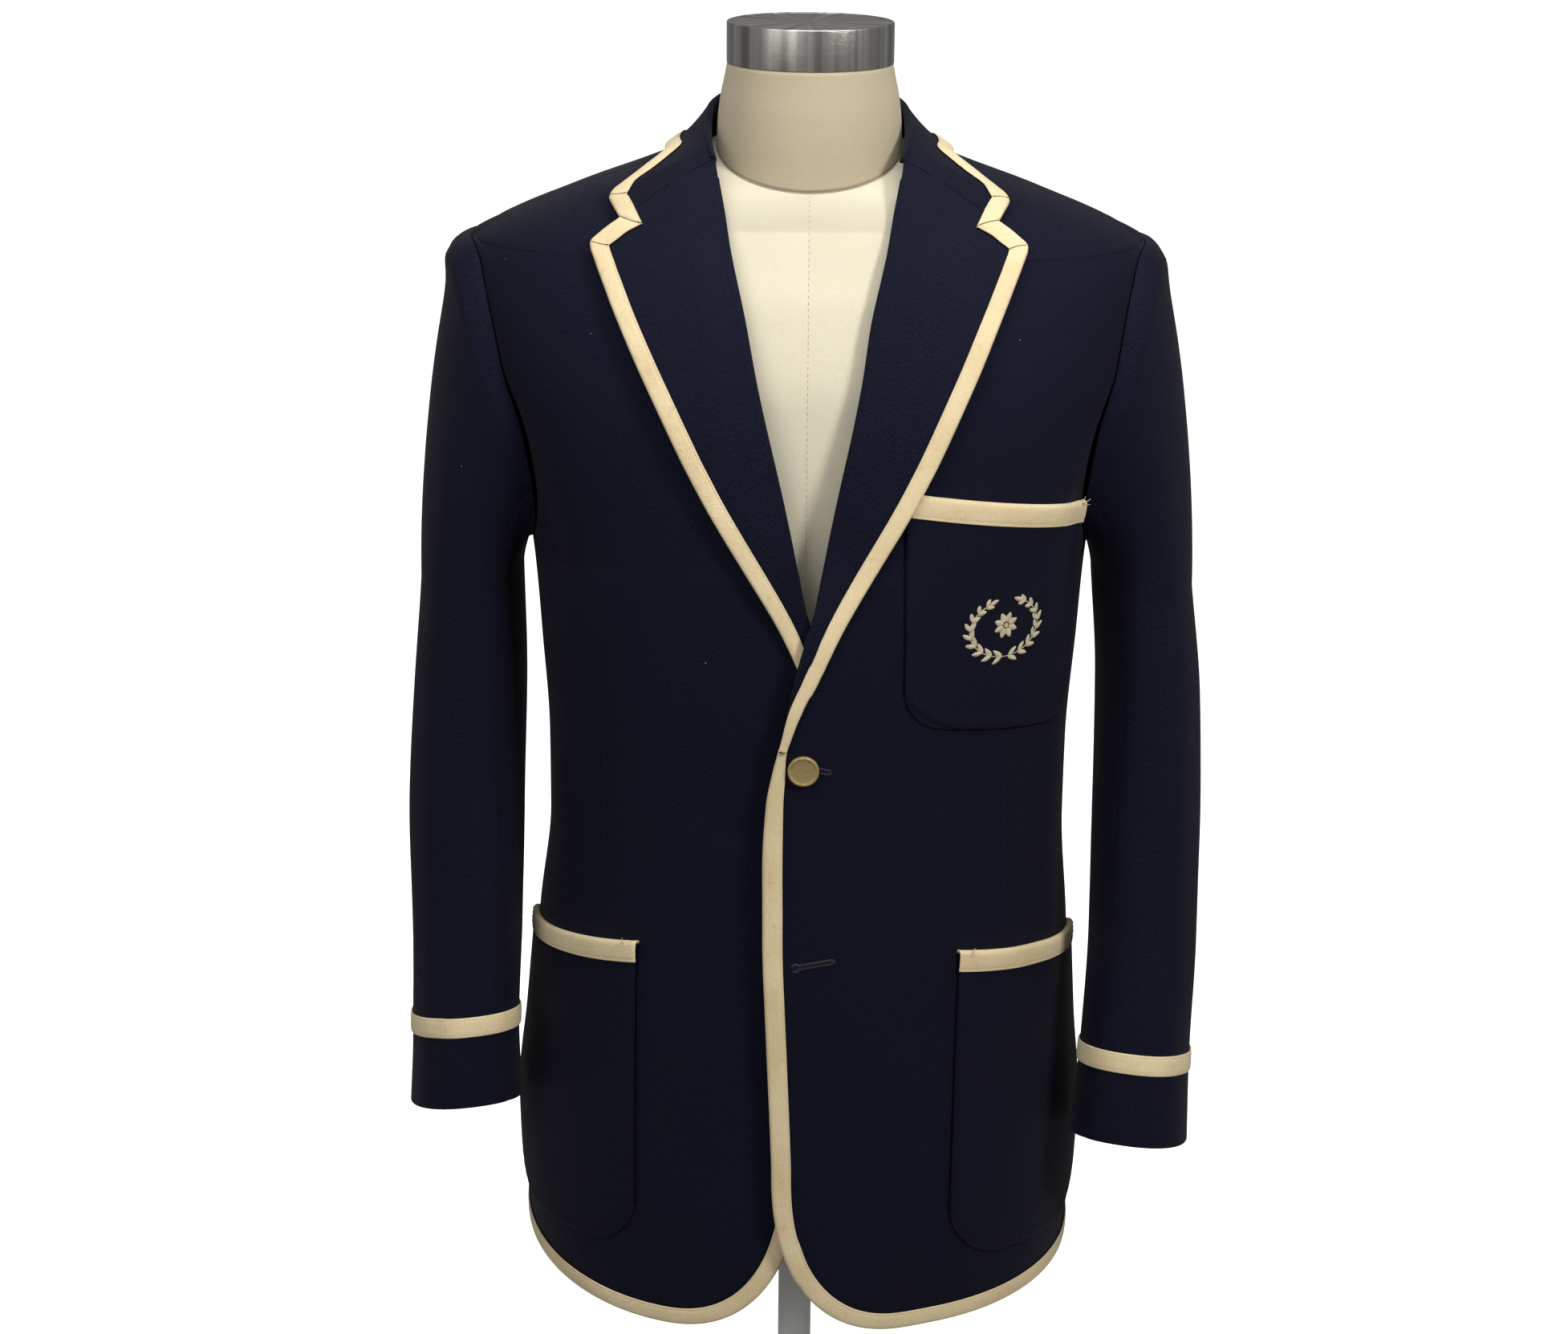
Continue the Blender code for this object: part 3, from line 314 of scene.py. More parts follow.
def grid_piece(name, grid, finish, ring=False, caps=False):
    """Surface from rows of points that run to the wearer's left and upwards, laid flat as its UV map."""
    rows, columns = grid.shape[:2]
    spans = columns if ring else columns - 1
    faces = []
    for r in range(rows - 1):
        for c in range(spans):
            d = (c + 1) % columns
            faces.append((r * columns + c, r * columns + d, (r + 1) * columns + d, (r + 1) * columns + c))
    if caps:
        faces += [tuple(reversed(range(columns))), tuple((rows - 1) * columns + c for c in range(columns))]
    piece = new_piece(name, grid.reshape(-1, 3), faces, finish)
    wide = lengths_along(np.concatenate([grid, grid[:, :1]], axis=1) if ring else grid, 1)
    wide = wide - wide[:, [wide.shape[1] // 2]]
    high = np.broadcast_to(lengths_along(grid, 0).mean(axis=1, keepdims=True), (rows, wide.shape[1]))
    flat = np.stack([wide, high], axis=-1)
    layer = piece.data.uv_layers.new(name="cut")
    corners = np.zeros((len(piece.data.loops), 2))
    at = 0
    for r in range(rows - 1):
        for c in range(spans):
            corners[at:at + 4] = flat[r, c], flat[r, c + 1], flat[r + 1, c + 1], flat[r + 1, c]
            at += 4
    layer.data.foreach_set("uv", corners.ravel())
    piece.data.shade_smooth()
    piece["cut_width"] = float(np.ptp(wide, axis=1).max())
    piece["cut_length"] = float(high.max())
    piece["cut_area"] = float(cut_area(corners[:at].reshape(-1, 4, 2)))
    return piece


def cut_area(quads):
    """Area of quads on the flat."""
    x, y = quads[..., 0], quads[..., 1]
    return np.abs((x * np.roll(y, -1, 1) - y * np.roll(x, -1, 1)).sum(axis=1)).sum() / 2


def woven_group():
    """Plain weave as height and tone, from flat coordinates in metres."""
    group = bpy.data.node_groups.new("woven cloth", "ShaderNodeTree")
    group.interface.new_socket("Flat", in_out="INPUT", socket_type="NodeSocketVector")
    for name, value in (("Thread", 0.0007), ("Slubs", 0.4)):
        group.interface.new_socket(name, in_out="INPUT", socket_type="NodeSocketFloat").default_value = value
    for name in ("Height", "Tone"):
        group.interface.new_socket(name, in_out="OUTPUT", socket_type="NodeSocketFloat")
    entry, leave = group.nodes.new("NodeGroupInput"), group.nodes.new("NodeGroupOutput")
    apart = group.nodes.new("ShaderNodeSeparateXYZ")
    link(group, entry.outputs["Flat"], apart.inputs[0])
    turns = math_node(group, "DIVIDE", math.pi, entry.outputs["Thread"])
    across = math_node(group, "SINE", math_node(group, "MULTIPLY", apart.outputs["X"], turns))
    along = math_node(group, "SINE", math_node(group, "MULTIPLY", apart.outputs["Y"], turns))
    crossing = math_node(group, "MULTIPLY", across, along)
    blots = noise_node(group, entry.outputs["Flat"], 420.0, 4.0)
    slub = math_node(group, "MULTIPLY", math_node(group, "SUBTRACT", blots, 0.5), entry.outputs["Slubs"])
    threads = math_node(group, "MULTIPLY", crossing, 0.35)
    raised = math_node(group, "ADD", threads, math_node(group, "MULTIPLY", slub, 2.0))
    link(group, raised, leave.inputs["Height"])
    broad = noise_node(group, entry.outputs["Flat"], 9.0, 3.0)
    close = math_node(group, "ADD", math_node(group, "MULTIPLY", crossing, 0.12), slub)
    tone = math_node(group, "ADD", close, math_node(group, "MULTIPLY", broad, 0.5))
    link(group, math_node(group, "ADD", tone, 0.25, clamp=True), leave.inputs["Tone"])
    return group


weave = woven_group()


def woven_material(name, dark, light, roughness, thread, slubs, relief, sheen):
    """Cloth: weave in its bump, uneven tone in its colour and a soft sheen."""
    made, shader = new_material(name, light, roughness)
    tree = made.node_tree
    cloth = tree.nodes.new("ShaderNodeGroup")
    cloth.node_tree = weave
    cloth.inputs["Thread"].default_value = thread
    cloth.inputs["Slubs"].default_value = slubs
    link(tree, coordinates(tree, "UV"), cloth.inputs["Flat"])
    link(tree, colour_mix(tree, cloth.outputs["Tone"], dark, light), shader.inputs["Base Color"])
    link(tree, bump_node(tree, cloth.outputs["Height"], relief), shader.inputs["Normal"])
    shader.inputs["Sheen Weight"].default_value = sheen
    shader.inputs["Sheen Roughness"].default_value = 0.5
    shader.inputs["Specular IOR Level"].default_value = 0.25
    return made, shader


def neck_seam(turn, gap=0.0):
    """Slanted seam between the form's torso and its neck."""
    x, y = NECK_SEAM_RADIUS * np.sin(turn), -NECK_SEAM_RADIUS * np.cos(turn)
    return points_of(x + FORM_MIDDLE, y, NECK_SEAM_HEIGHT + NECK_SEAM_TILT * y + gap)


def seam_dip(turn, radius):
    """How far the cloth is drawn in at the seam down the centre front."""
    return SEAM_DIP * np.exp(-(turn * radius / SEAM_HALF_WIDTH) ** 2)


torso_linen, _ = woven_material("torso_linen", (0.56, 0.51, 0.375), (0.68, 0.625, 0.48), 0.9,
                                LINEN_THREAD, 0.5, 0.00012, 0.15)
close_turns = np.radians([0.4, 1.0, 1.8])
wide_turns = np.linspace(np.radians(3.0), np.pi, TORSO_COLUMNS // 2)
half_turns = np.concatenate([[0.0], close_turns, wide_turns])
form_turns = np.concatenate([half_turns, -half_turns[-2:0:-1]])
signed_turns = (form_turns + np.pi) % (2 * np.pi) - np.pi
torso_rows = []
for height in np.concatenate([[FORM_BOTTOM, FORM_BOTTOM + 0.0015, FORM_BOTTOM + 0.004, FORM_BOTTOM + 0.008],
                              np.linspace(FORM_BOTTOM + FOOT_ROUND, TORSO_SHOULDER, TORSO_ROWS)]):
    row = section_point(TORSO, form_turns, height)
    out = row[:, :2] / np.linalg.norm(row[:, :2], axis=1, keepdims=True)
    above_foot = min((height - FORM_BOTTOM) / FOOT_ROUND, 1.0)
    inset = FOOT_INSET * (1 - math.sqrt(1 - (1 - above_foot) ** 2)) + seam_dip(signed_turns, 0.12)
    row[:, :2] -= out * inset[:, None]
    torso_rows.append(row)
for part in np.linspace(0.0, 1.0, SHOULDER_ROWS)[1:]:
    seam = neck_seam(form_turns)
    height = mix(TORSO_SHOULDER, seam[:, 2], part)
    row = section_point(TORSO, form_turns, np.minimum(height, TORSO.at[-1]))
    row[:, 2] = height
    row[:, :2] = mix(row[:, :2], seam[:, :2], part ** 4)
    out = row[:, :2] / np.linalg.norm(row[:, :2], axis=1, keepdims=True)
    row[:, :2] -= out * (seam_dip(signed_turns, 0.09) * (1 - part) + NECK_TUCK * part ** 24)[:, None]
    torso_rows.append(row)
torso = grid_piece("form_torso_linen", np.array(torso_rows), torso_linen, ring=True, caps=True)
fitted(torso, "cream_linen", "form_torso")


# ---- its stitches ----
# Each seam is sewn with a fine grey-brown thread, whose stitches show as a dotted line.
def growing_tree(name, inputs, nodes, links):
    """Geometry tree that grows thread along a mesh's lines, from tables of inputs, nodes and links."""
    tree = bpy.data.node_groups.new(name, "GeometryNodeTree")
    for label, kind, value in [("Geometry", "Geometry", None), *inputs, ("Thread", "Material", None)]:
        made = tree.interface.new_socket(label, in_out="INPUT", socket_type="NodeSocket" + kind)
        if value is not None:
            made.default_value = value
    tree.interface.new_socket("Geometry", in_out="OUTPUT", socket_type="NodeSocketGeometry")
    by_label = {"entry": tree.nodes.new("NodeGroupInput"), "leave": tree.nodes.new("NodeGroupOutput")}
    for label, kind, settings, values in [
            ("line", "GeometryNodeMeshToCurve", {}, {}), *nodes,
            ("whole", "GeometryNodeRealizeInstances", {}, {}),
            ("smooth", "GeometryNodeSetShadeSmooth", {}, {}), ("finish", "GeometryNodeSetMaterial", {}, {})]:
        node = by_label[label] = tree.nodes.new(kind)
        for setting, value in settings.items():
            setattr(node, setting, value)
        for socket, value in values.items():
            node.inputs[socket].default_value = value
    for source, output, target, socket in [
            ("entry", "Geometry", "line", "Mesh"), *links, ("whole", "Geometry", "smooth", "Geometry"),
            ("smooth", "Geometry", "finish", "Geometry"), ("entry", "Thread", "finish", "Material"),
            ("finish", "Geometry", "leave", "Geometry")]:
        link(tree, by_label[source].outputs[output], by_label[target].inputs[socket])
    return tree


# Beads laid end to end along each line, their lengths a little uneven.
stitches = growing_tree(
    "running stitches",
    [("Spacing", "Float", 0.0028), ("Length", "Float", 0.0020), ("Thickness", "Float", 0.0004),
     ("Unevenness", "Float", 0.12), ("Seed", "Int", 1)],
    [("even", "GeometryNodeResampleCurve", {"mode": "LENGTH"}, {}),
     ("spots", "GeometryNodeCurveToPoints", {"mode": "EVALUATED"}, {}),
     ("bead", "GeometryNodeMeshUVSphere", {}, {"Segments": 6, "Rings": 4, "Radius": 0.5}),
     ("size", "ShaderNodeCombineXYZ", {}, {}),
     ("uneven", "FunctionNodeRandomValue", {}, {2: -1.0, 3: 1.0}),
     ("longer", "ShaderNodeMath", {"operation": "MULTIPLY_ADD"}, {2: 1.0}),
     ("scaled", "ShaderNodeMath", {"operation": "MULTIPLY"}, {}),
     ("place", "GeometryNodeInstanceOnPoints", {}, {})],
    [("line", "Curve", "even", "Curve"), ("entry", "Spacing", "even", "Length"),
     ("even", "Curve", "spots", "Curve"), ("entry", "Seed", "uneven", "Seed"),
     ("uneven", 1, "longer", 0), ("entry", "Unevenness", "longer", 1),
     ("longer", 0, "scaled", 0), ("entry", "Length", "scaled", 1), ("entry", "Thickness", "size", "X"),
     ("entry", "Thickness", "size", "Y"), ("scaled", 0, "size", "Z"), ("spots", "Points", "place", "Points"),
     ("spots", "Rotation", "place", "Rotation"), ("bead", "Mesh", "place", "Instance"),
     ("size", "Vector", "place", "Scale"), ("place", "Instances", "whole", "Geometry")])

# Round thread along each line.
threads = growing_tree(
    "laid threads",
    [("Thickness", "Float", 0.0005), ("Sides", "Int", 6)],
    [("circle", "GeometryNodeCurvePrimitiveCircle", {}, {}),
     ("half", "ShaderNodeMath", {"operation": "MULTIPLY"}, {1: 0.5}),
     ("tube", "GeometryNodeCurveToMesh", {}, {"Fill Caps": True})],
    [("line", "Curve", "tube", "Curve"), ("entry", "Sides", "circle", "Resolution"),
     ("entry", "Thickness", "half", 0), ("half", 0, "circle", "Radius"),
     ("circle", "Curve", "tube", "Profile Curve"), ("tube", "Mesh", "whole", "Geometry")])


def grown(name, lines, tree, slot, **values):
    """Plain mesh that a geometry tree grows along lines of points, riding on the form."""
    points, edges = [], []
    for line in lines:
        edges += [(len(points) + k, len(points) + k + 1) for k in range(len(line) - 1)]
        points += [tuple(point) for point in line]
    seed = bpy.data.meshes.new(name)
    seed.from_pydata(points, edges, [])
    holder = placed(name, seed)
    nodes = holder.modifiers.new("grown", "NODES")
    nodes.node_group = tree
    for socket in tree.interface.items_tree:
        if socket.in_out == "INPUT" and socket.name in values:
            nodes[socket.identifier] = values[socket.name]
    holder.update_tag()
    fitted(placed(name, made_mesh(holder)), slot)


seam_thread, _ = new_material("seam_thread", (0.36, 0.31, 0.25), 0.8)
centre_rows = np.array(torso_rows)[:, 0]
centre_line = centre_rows[centre_rows[:, 2] > 0.5] + np.array([0, -0.00005, 0])
grown("form_seam_stitches", [centre_line], stitches, "neck_linen",
      Spacing=0.0042, Length=0.0026, Thickness=0.0005, Seed=3, Thread=seam_thread)


# ==== Neck of the dress form ====
# The neck is a separate tube in a closer, darker linen, let into the torso along a slanted seam that is
# covered with a thin line of grey thread.
CAP_BOTTOM, CAP_TOP, CAP_RADIUS = 1.088, 1.115, 0.056
NECK = Sections("part radius", (0.0, 0.0625), (0.3, 0.0618), (0.6, 0.0600), (0.85, 0.0572), (1.0, 0.0556))
NECK_ROWS, NECK_COLUMNS = 30, 96

neck_linen, _ = woven_material("neck_linen", (0.38, 0.315, 0.21), (0.48, 0.41, 0.285), 0.9,
                               0.0006, 0.45, 0.0001, 0.15)
neck_turns = np.linspace(0, 2 * np.pi, NECK_COLUMNS, endpoint=False)
neck_rows = []
for part in np.linspace(0, 1, NECK_ROWS):
    radius = NECK.read("radius", part)
    foot = neck_seam(neck_turns, SEAM)
    neck_rows.append(points_of(radius * np.sin(neck_turns) + FORM_MIDDLE, -radius * np.cos(neck_turns),
                               mix(foot[:, 2], CAP_BOTTOM - SEAM, part)))
neck = grid_piece("form_neck_linen", np.array(neck_rows), neck_linen, ring=True, caps=True)
fitted(neck, "neck_linen", "form_neck")
seam_ring = neck_seam(np.linspace(0, 2 * np.pi, 181), SEAM / 2)
seam_ring[:, :2] *= (NECK_SEAM_RADIUS + 0.0001) / NECK_SEAM_RADIUS
grown("neck_seam_thread", [seam_ring], threads, "neck_linen", Thickness=0.0007, Sides=6, Thread=seam_thread)


# ==== Neck cap ====
# Spun steel disc with a straight band, pressed on to the neck. It is brushed round; the upright light and
# dark stripes of the studio smeared round it are painted reflection in its colour.
brushed_steel, shader = new_material("brushed_steel", (0.60, 0.585, 0.56), 0.3, 1.0)
tree = brushed_steel.node_tree
place = coordinates(tree)
apart = tree.nodes.new("ShaderNodeSeparateXYZ")
link(tree, place, apart.inputs[0])
round_angle = math_node(tree, "ARCTAN2", apart.outputs["X"], apart.outputs["Y"])
rows_up = tree.nodes.new("ShaderNodeCombineXYZ")
link(tree, math_node(tree, "MULTIPLY", round_angle, 0.9), rows_up.inputs["X"])
link(tree, math_node(tree, "MULTIPLY", apart.outputs["Z"], 900.0), rows_up.inputs["Y"])
brushing = noise_node(tree, rows_up.outputs[0], 6.0, 5.0)
link(tree, bump_node(tree, brushing, 0.00012, 0.5), shader.inputs["Normal"])
around = tree.nodes.new("ShaderNodeCombineXYZ")
link(tree, round_angle, around.inputs["X"])
# Painted reflection: upright light and dark stripes round the cap, laid into the base colour.
painted_reflection_stripes = math_node(tree, "SUBTRACT", noise_node(tree, around.outputs[0], 5.5, 2.0), 0.36, clamp=True)
painted_reflection_stripes = math_node(tree, "MULTIPLY", painted_reflection_stripes, 3.0, clamp=True)
link(tree, colour_mix(tree, painted_reflection_stripes, (0.30, 0.28, 0.25), (0.74, 0.72, 0.69)), shader.inputs["Base Color"])
roughness = math_node(tree, "MULTIPLY_ADD", brushing, 0.16, 0.24)
link(tree, roughness, shader.inputs["Roughness"])
RIM, CAP_DISH = 0.0012, 0.0006
cap = turned_piece("neck_cap_brushed", [
    (0, CAP_TOP - CAP_DISH), (CAP_RADIUS - 2.5 * RIM, CAP_TOP - CAP_DISH), (CAP_RADIUS - 2 * RIM, CAP_TOP),
    (CAP_RADIUS - 0.5 * RIM, CAP_TOP), (CAP_RADIUS, CAP_TOP - 0.5 * RIM),
    (CAP_RADIUS, CAP_BOTTOM + 0.3 * RIM), (CAP_RADIUS - 0.3 * RIM, CAP_BOTTOM), (0, CAP_BOTTOM)],
    brushed_steel, FORM_MIDDLE, 0.0003)
fitted(cap, "brushed_steel", "neck_cap")


# ==== Back of the blazer ====
# Two halves of navy worsted seamed down the centre back and joined to the fronts at the sides and
# shoulders. The cloth is a fulled worsted twill on canvas, so it hangs smooth and shows few folds.
CLOTH, NAVY_THREAD = 0.0020, 0.0009
SIGN = {"left": 1, "right": -1}
SIDE_SEAM = math.radians(95)
NECKLINE, SHOULDER_TIP, UNDERARM = 1.035, 0.973, 0.765
HEM_SIDE, HEM_BACK = {"left": 0.2160, "right": 0.2260}, 0.2200
ARMHOLE_MIDDLE, ARMHOLE_HALF = (SHOULDER_TIP + UNDERARM) / 2, (SHOULDER_TIP - UNDERARM) / 2
ARMHOLE_SPREAD = {"front": math.radians(31), "back": math.radians(25)}
ARMHOLE_TURN, ARMHOLE_LEAN = 92.5, 2.5          # degrees
BODY_START = 0.400
BACK_NECK_LEVELS = (1.0175, 1.0235, 1.0295, NECKLINE)
ALLOWANCE, ALLOWANCE_DROP = 0.0020, 0.0015      # edge of the back that runs under the front and sleeve
BEND_REACHES, BEND_LIFT = (0.003, 0.006, 0.009, 0.013), 0.0045
BEND_HEIGHTS = (0.925, 0.025, 1.012, 0.016)     # lowest, its fade, highest, its fade
WORSTED_EDGE = 0.0006

# Level sections through the worn blazer's outer face, hem to neckline.
BODY = Sections(
    "height half_width front  back   centre square shift",
    (0.190, 0.2010, 0.1400, 0.1370, 0.028, 2.30, 0.0015),
    (0.235, 0.2040, 0.1410, 0.1390, 0.028, 2.30, 0.0015),
    (0.330, 0.2070, 0.1440, 0.1390, 0.028, 2.30, 0.0015),
    (0.400, 0.2000, 0.1460, 0.1370, 0.024, 2.30, 0.0020),
    (0.480, 0.1930, 0.1475, 0.1290, 0.018, 2.30, 0.0030),
    (0.560, 0.1850, 0.1485, 0.1160, 0.010, 2.30, 0.0045),
    (0.620, 0.1845, 0.1495, 0.1120, 0.005, 2.30, 0.0045),
    (0.700, 0.1885, 0.1515, 0.1220, 0.000, 2.35, 0.0045),
    (0.765, 0.1930, 0.1510, 0.1330, 0.000, 2.40, 0.0040),
    (0.850, 0.2130, 0.1440, 0.1400, 0.000, 2.40, 0.0030),
    (0.900, 0.2290, 0.1330, 0.1380, 0.000, 2.40, 0.0020),
    (0.945, 0.2330, 0.1170, 0.1290, 0.000, 2.40, 0.0010),
    (0.965, 0.2310, 0.1070, 0.1220, 0.000, 2.40, 0.0010),
    (0.973, 0.2290, 0.1020, 0.1190, 0.000, 2.40, 0.0010),
    (0.981, 0.2160, 0.0970, 0.1160, 0.000, 2.40, 0.0010),
    (0.988, 0.1980, 0.0920, 0.1130, 0.000, 2.40, 0.0010),
    (1.002, 0.1640, 0.0830, 0.1070, 0.000, 2.40, 0.0010),
    (1.021, 0.1100, 0.0700, 0.0970, 0.000, 2.40, 0.0010),
    (1.035, 0.0750, 0.0600, 0.0870, 0.000, 2.40, 0.0010),
)

# The cloth measured: how far round each level every turn lies, and the turn that each distance reaches.
MEASURED_TURNS = np.radians(np.arange(0, 181, 1.0))
MEASURED_HEIGHTS = np.linspace(BODY.at[0], NECKLINE, 339)
MEASURED_STEPS = np.linspace(0.0, 0.80, 321)
around_levels = section_point(BODY, MEASURED_TURNS[None, :], MEASURED_HEIGHTS[:, None])
LENGTH_AT_TURN = lengths_along(around_levels, 1)
TURN_AT_LENGTH = np.array([np.interp(MEASURED_STEPS, row, MEASURED_TURNS) for row in LENGTH_AT_TURN])


def looked_up(table, steps, height, place):
    """Value between four neighbours of a table over the measured heights and evenly spaced steps."""
    level = (height - MEASURED_HEIGHTS[0]) / (MEASURED_HEIGHTS[1] - MEASURED_HEIGHTS[0])
    r = np.clip(level, 0, len(MEASURED_HEIGHTS) - 1.001)
    c = np.clip(np.abs(place) / (steps[1] - steps[0]), 0, len(steps) - 1.001)
    i, j = np.floor(r).astype(int), np.floor(c).astype(int)
    u, v = r - i, c - j
    low = table[i, j] * (1 - v) + table[i, j + 1] * v
    high = table[i + 1, j] * (1 - v) + table[i + 1, j + 1] * v
    return np.where(np.asarray(place) < 0, -1, 1) * (low * (1 - u) + high * u)


def across_at(turn, height):
    return looked_up(LENGTH_AT_TURN, MEASURED_TURNS, np.asarray(height, float), turn)


def turn_at(across, height):
    """Turn that lies a distance round the cloth, closed in on from the table's first guess."""
    length = np.abs(np.asarray(across, float))
    turn = looked_up(TURN_AT_LENGTH, MEASURED_STEPS, np.asarray(height, float), length)
    for _ in range(3):
        reached = across_at(turn, height)
        slope = (reached - across_at(turn - 0.005, height)) / 0.005
        turn = np.clip(turn + (length - reached) / np.maximum(slope, 0.02), 0, np.pi)
    return np.where(np.asarray(across) < 0, -1, 1) * turn


def unit(vectors):
    return vectors / np.linalg.norm(vectors, axis=-1, keepdims=True)


def outward_at(turn, height):
    """Direction square to the cloth."""
    along = section_point(BODY, turn + 0.01, height) - section_point(BODY, turn - 0.01, height)
    above = section_point(BODY, turn, np.minimum(height + 0.001, NECKLINE))
    return unit(np.cross(along, above - section_point(BODY, turn, height - 0.001)))


def lifted(turn, height, lift=0.0):
    """Points at turns and heights, moved out from the cloth's face."""
    turn, height, lift = np.broadcast_arrays(turn, height, lift)
    return section_point(BODY, turn, height) + outward_at(turn, height) * lift[..., None]


def armhole_turn(height, face):
    """Turn of the armhole's front or back edge at a height between underarm and shoulder tip."""
    level = np.clip((height - ARMHOLE_MIDDLE) / ARMHOLE_HALF, -1.0, 1.0)
    middle = np.radians(ARMHOLE_TURN - ARMHOLE_LEAN * level)
    spread = ARMHOLE_SPREAD[face] * (1 - level * level) ** 0.25
    return middle - spread if face == "front" else middle + spread


def outer_turn(height, face):
    """Turn of a panel's outer boundary: side seam, then armhole, then shoulder seam."""
    if height <= UNDERARM:
        return SIDE_SEAM
    return float(armhole_turn(height, face)) if height < SHOULDER_TIP else math.pi / 2


PANEL_LEVELS = np.concatenate([
    np.arange(BODY_START, UNDERARM - 0.004, 0.0065),
    ARMHOLE_MIDDLE - ARMHOLE_HALF * np.cos(np.pi * np.linspace(0, 1, 37)),
    np.linspace(SHOULDER_TIP, 1.0115, 12)[1:]])


def panel_parts(count, first_seam, last_seam):
    """Even parts of a panel's width, closer together beside a seam."""
    close = np.array([0.004, 0.009])
    at_start, at_end = close if first_seam else [], 1 - close if last_seam else []
    return np.unique(np.concatenate([np.linspace(0, 1, count), at_start, at_end]))


def seam_roll(distance, depth=0.0010, reach=0.0035):
    """Cloth turning in at a pressed seam."""
    return -depth * np.exp(-(distance / reach) ** 2)


def mottled_navy():
    """Navy worsted: a blue and a violet cast in patches, fine speckle and a few pale flecks of lint."""
    made, shader = woven_material("navy_worsted", (0.0013, 0.0014, 0.0052), (0.0043, 0.0045, 0.0118), 0.66,
                                  NAVY_THREAD, 1.1, 0.00026, 0.03)
    shader.inputs["Specular IOR Level"].default_value = 0.15
    shader.inputs["Specular Tint"].default_value = (0.58, 0.64, 1.0, 1.0)
    tree = made.node_tree
    flat = coordinates(tree, "UV")
    woven = shader.inputs["Base Color"].links[0].from_socket
    patches = noise_node(tree, flat, 16.0, 2.0)
    cast = colour_mix(tree, patches, (0.86, 0.98, 1.10), (1.14, 1.00, 0.98))
    cast_cloth = colour_mix(tree, 1.0, woven, cast, "MULTIPLY")
    grain = math_node(tree, "MULTIPLY_ADD", noise_node(tree, flat, 620.0, 2.0), 2.4, -0.7, clamp=True)
    speckle = colour_mix(tree, grain, (0.35, 0.45, 0.75), (1.9, 1.65, 1.35))
    cast_cloth = colour_mix(tree, 1.0, cast_cloth, speckle, "MULTIPLY")
    flecks = tree.nodes.new("ShaderNodeTexVoronoi")
    flecks.inputs["Scale"].default_value = 55.0
    link(tree, flat, flecks.inputs["Vector"])
    near = math_node(tree, "LESS_THAN", flecks.outputs["Distance"], 0.032)
    chosen = tree.nodes.new("ShaderNodeSeparateColor")
    link(tree, flecks.outputs["Color"], chosen.inputs[0])
    fleck = math_node(tree, "MULTIPLY", near, math_node(tree, "GREATER_THAN", chosen.outputs[0], 0.955))
    link(tree, colour_mix(tree, fleck, cast_cloth, (0.30, 0.30, 0.33)), shader.inputs["Base Color"])
    return made


navy_worsted = mottled_navy()


def cloth_piece(name, grid, finish, wall, slot, node, ring=False, soft_edge=0.0):
    """Wall of cloth from the points of its outer face, with its flat cut as its UV map and its sizes kept on
    it.
    """
    piece = grid_piece(name, grid, finish, ring=ring)
    inner = piece.modifiers.new("wall", "SOLIDIFY")
    inner.thickness, inner.offset = wall, -1
    if soft_edge:
        edges = piece.modifiers.new("soft edges", "BEVEL")
        edges.width, edges.segments, edges.limit_method = soft_edge, 2, "ANGLE"
        edges.angle_limit = math.radians(60)
    fitted(piece, slot, node)


def worsted(node, grid, wall=CLOTH):
    """Piece of the navy cloth with softened edges, named after its CAD node."""
    cloth_piece(node + "_worsted", grid, navy_worsted, wall, "navy_worsted", node,
                soft_edge=WORSTED_EDGE)


def leftward(side, grid):
    """Grid of one side, turned so that its rows run to the wearer's left."""
    return grid if side == "left" else grid[:, ::-1]


def shoulder_round(turn, height, half):
    """Lift that rounds the bend between the shoulder and the chest or the blade, clear of the seams."""
    here, out = section_point(BODY, turn, height), outward_at(turn, height)
    bend = 0.0
    for reach in BEND_REACHES:
        above = section_point(BODY, turn, np.minimum(height + reach, NECKLINE))
        below = section_point(BODY, turn, height - reach)
        bend = bend + (((above + below) / 2 - here) * out).sum(-1) / len(BEND_REACHES)
    bend = BEND_LIFT * np.tanh(bend / BEND_LIFT)
    edge = np.where(height < SHOULDER_TIP, armhole_turn(height, half), np.pi / 2)
    from_seam = np.clip((edge - np.abs(turn)) * (1 if half == "front" else -1), 0, 1)
    low, low_fade, high, high_fade = BEND_HEIGHTS
    return bend * ease((height - low) / low_fade) * ease((high - height) / high_fade) * ease(from_seam / 0.10)


def back_grid(side):
    """Half of the back from the centre seam to the side seam, armhole and shoulder seam."""
    parts, rows = panel_parts(44, True, True), []
    hem = mix(HEM_SIDE[side], HEM_BACK, ease(parts))
    levels = [mix(hem, BODY_START, rise) for rise in np.linspace(0, 1, 28)[:-1]]
    levels += [np.full_like(parts, level) for level in [*PANEL_LEVELS, *BACK_NECK_LEVELS]]
    for level in levels:
        outer = outer_turn(float(level.mean()), "back")
        start, end = across_at(outer, level) + SEAM / 2, across_at(math.pi, level) - SEAM / 2
        across = mix(start, end, parts)
        lift = seam_roll(end - across) + 0.5 * seam_roll(across - start)
        across, lift = np.append(start[0] - ALLOWANCE, across), np.append(-ALLOWANCE_DROP, lift)
        height = np.append(level[0], level)
        turn = turn_at(SIGN[side] * across, height)
        rows.append(lifted(turn, height, lift + shoulder_round(turn, height, "back")))
    return leftward(side, np.array(rows))


for side in SIGN:
    worsted("back_" + side, back_grid(side))


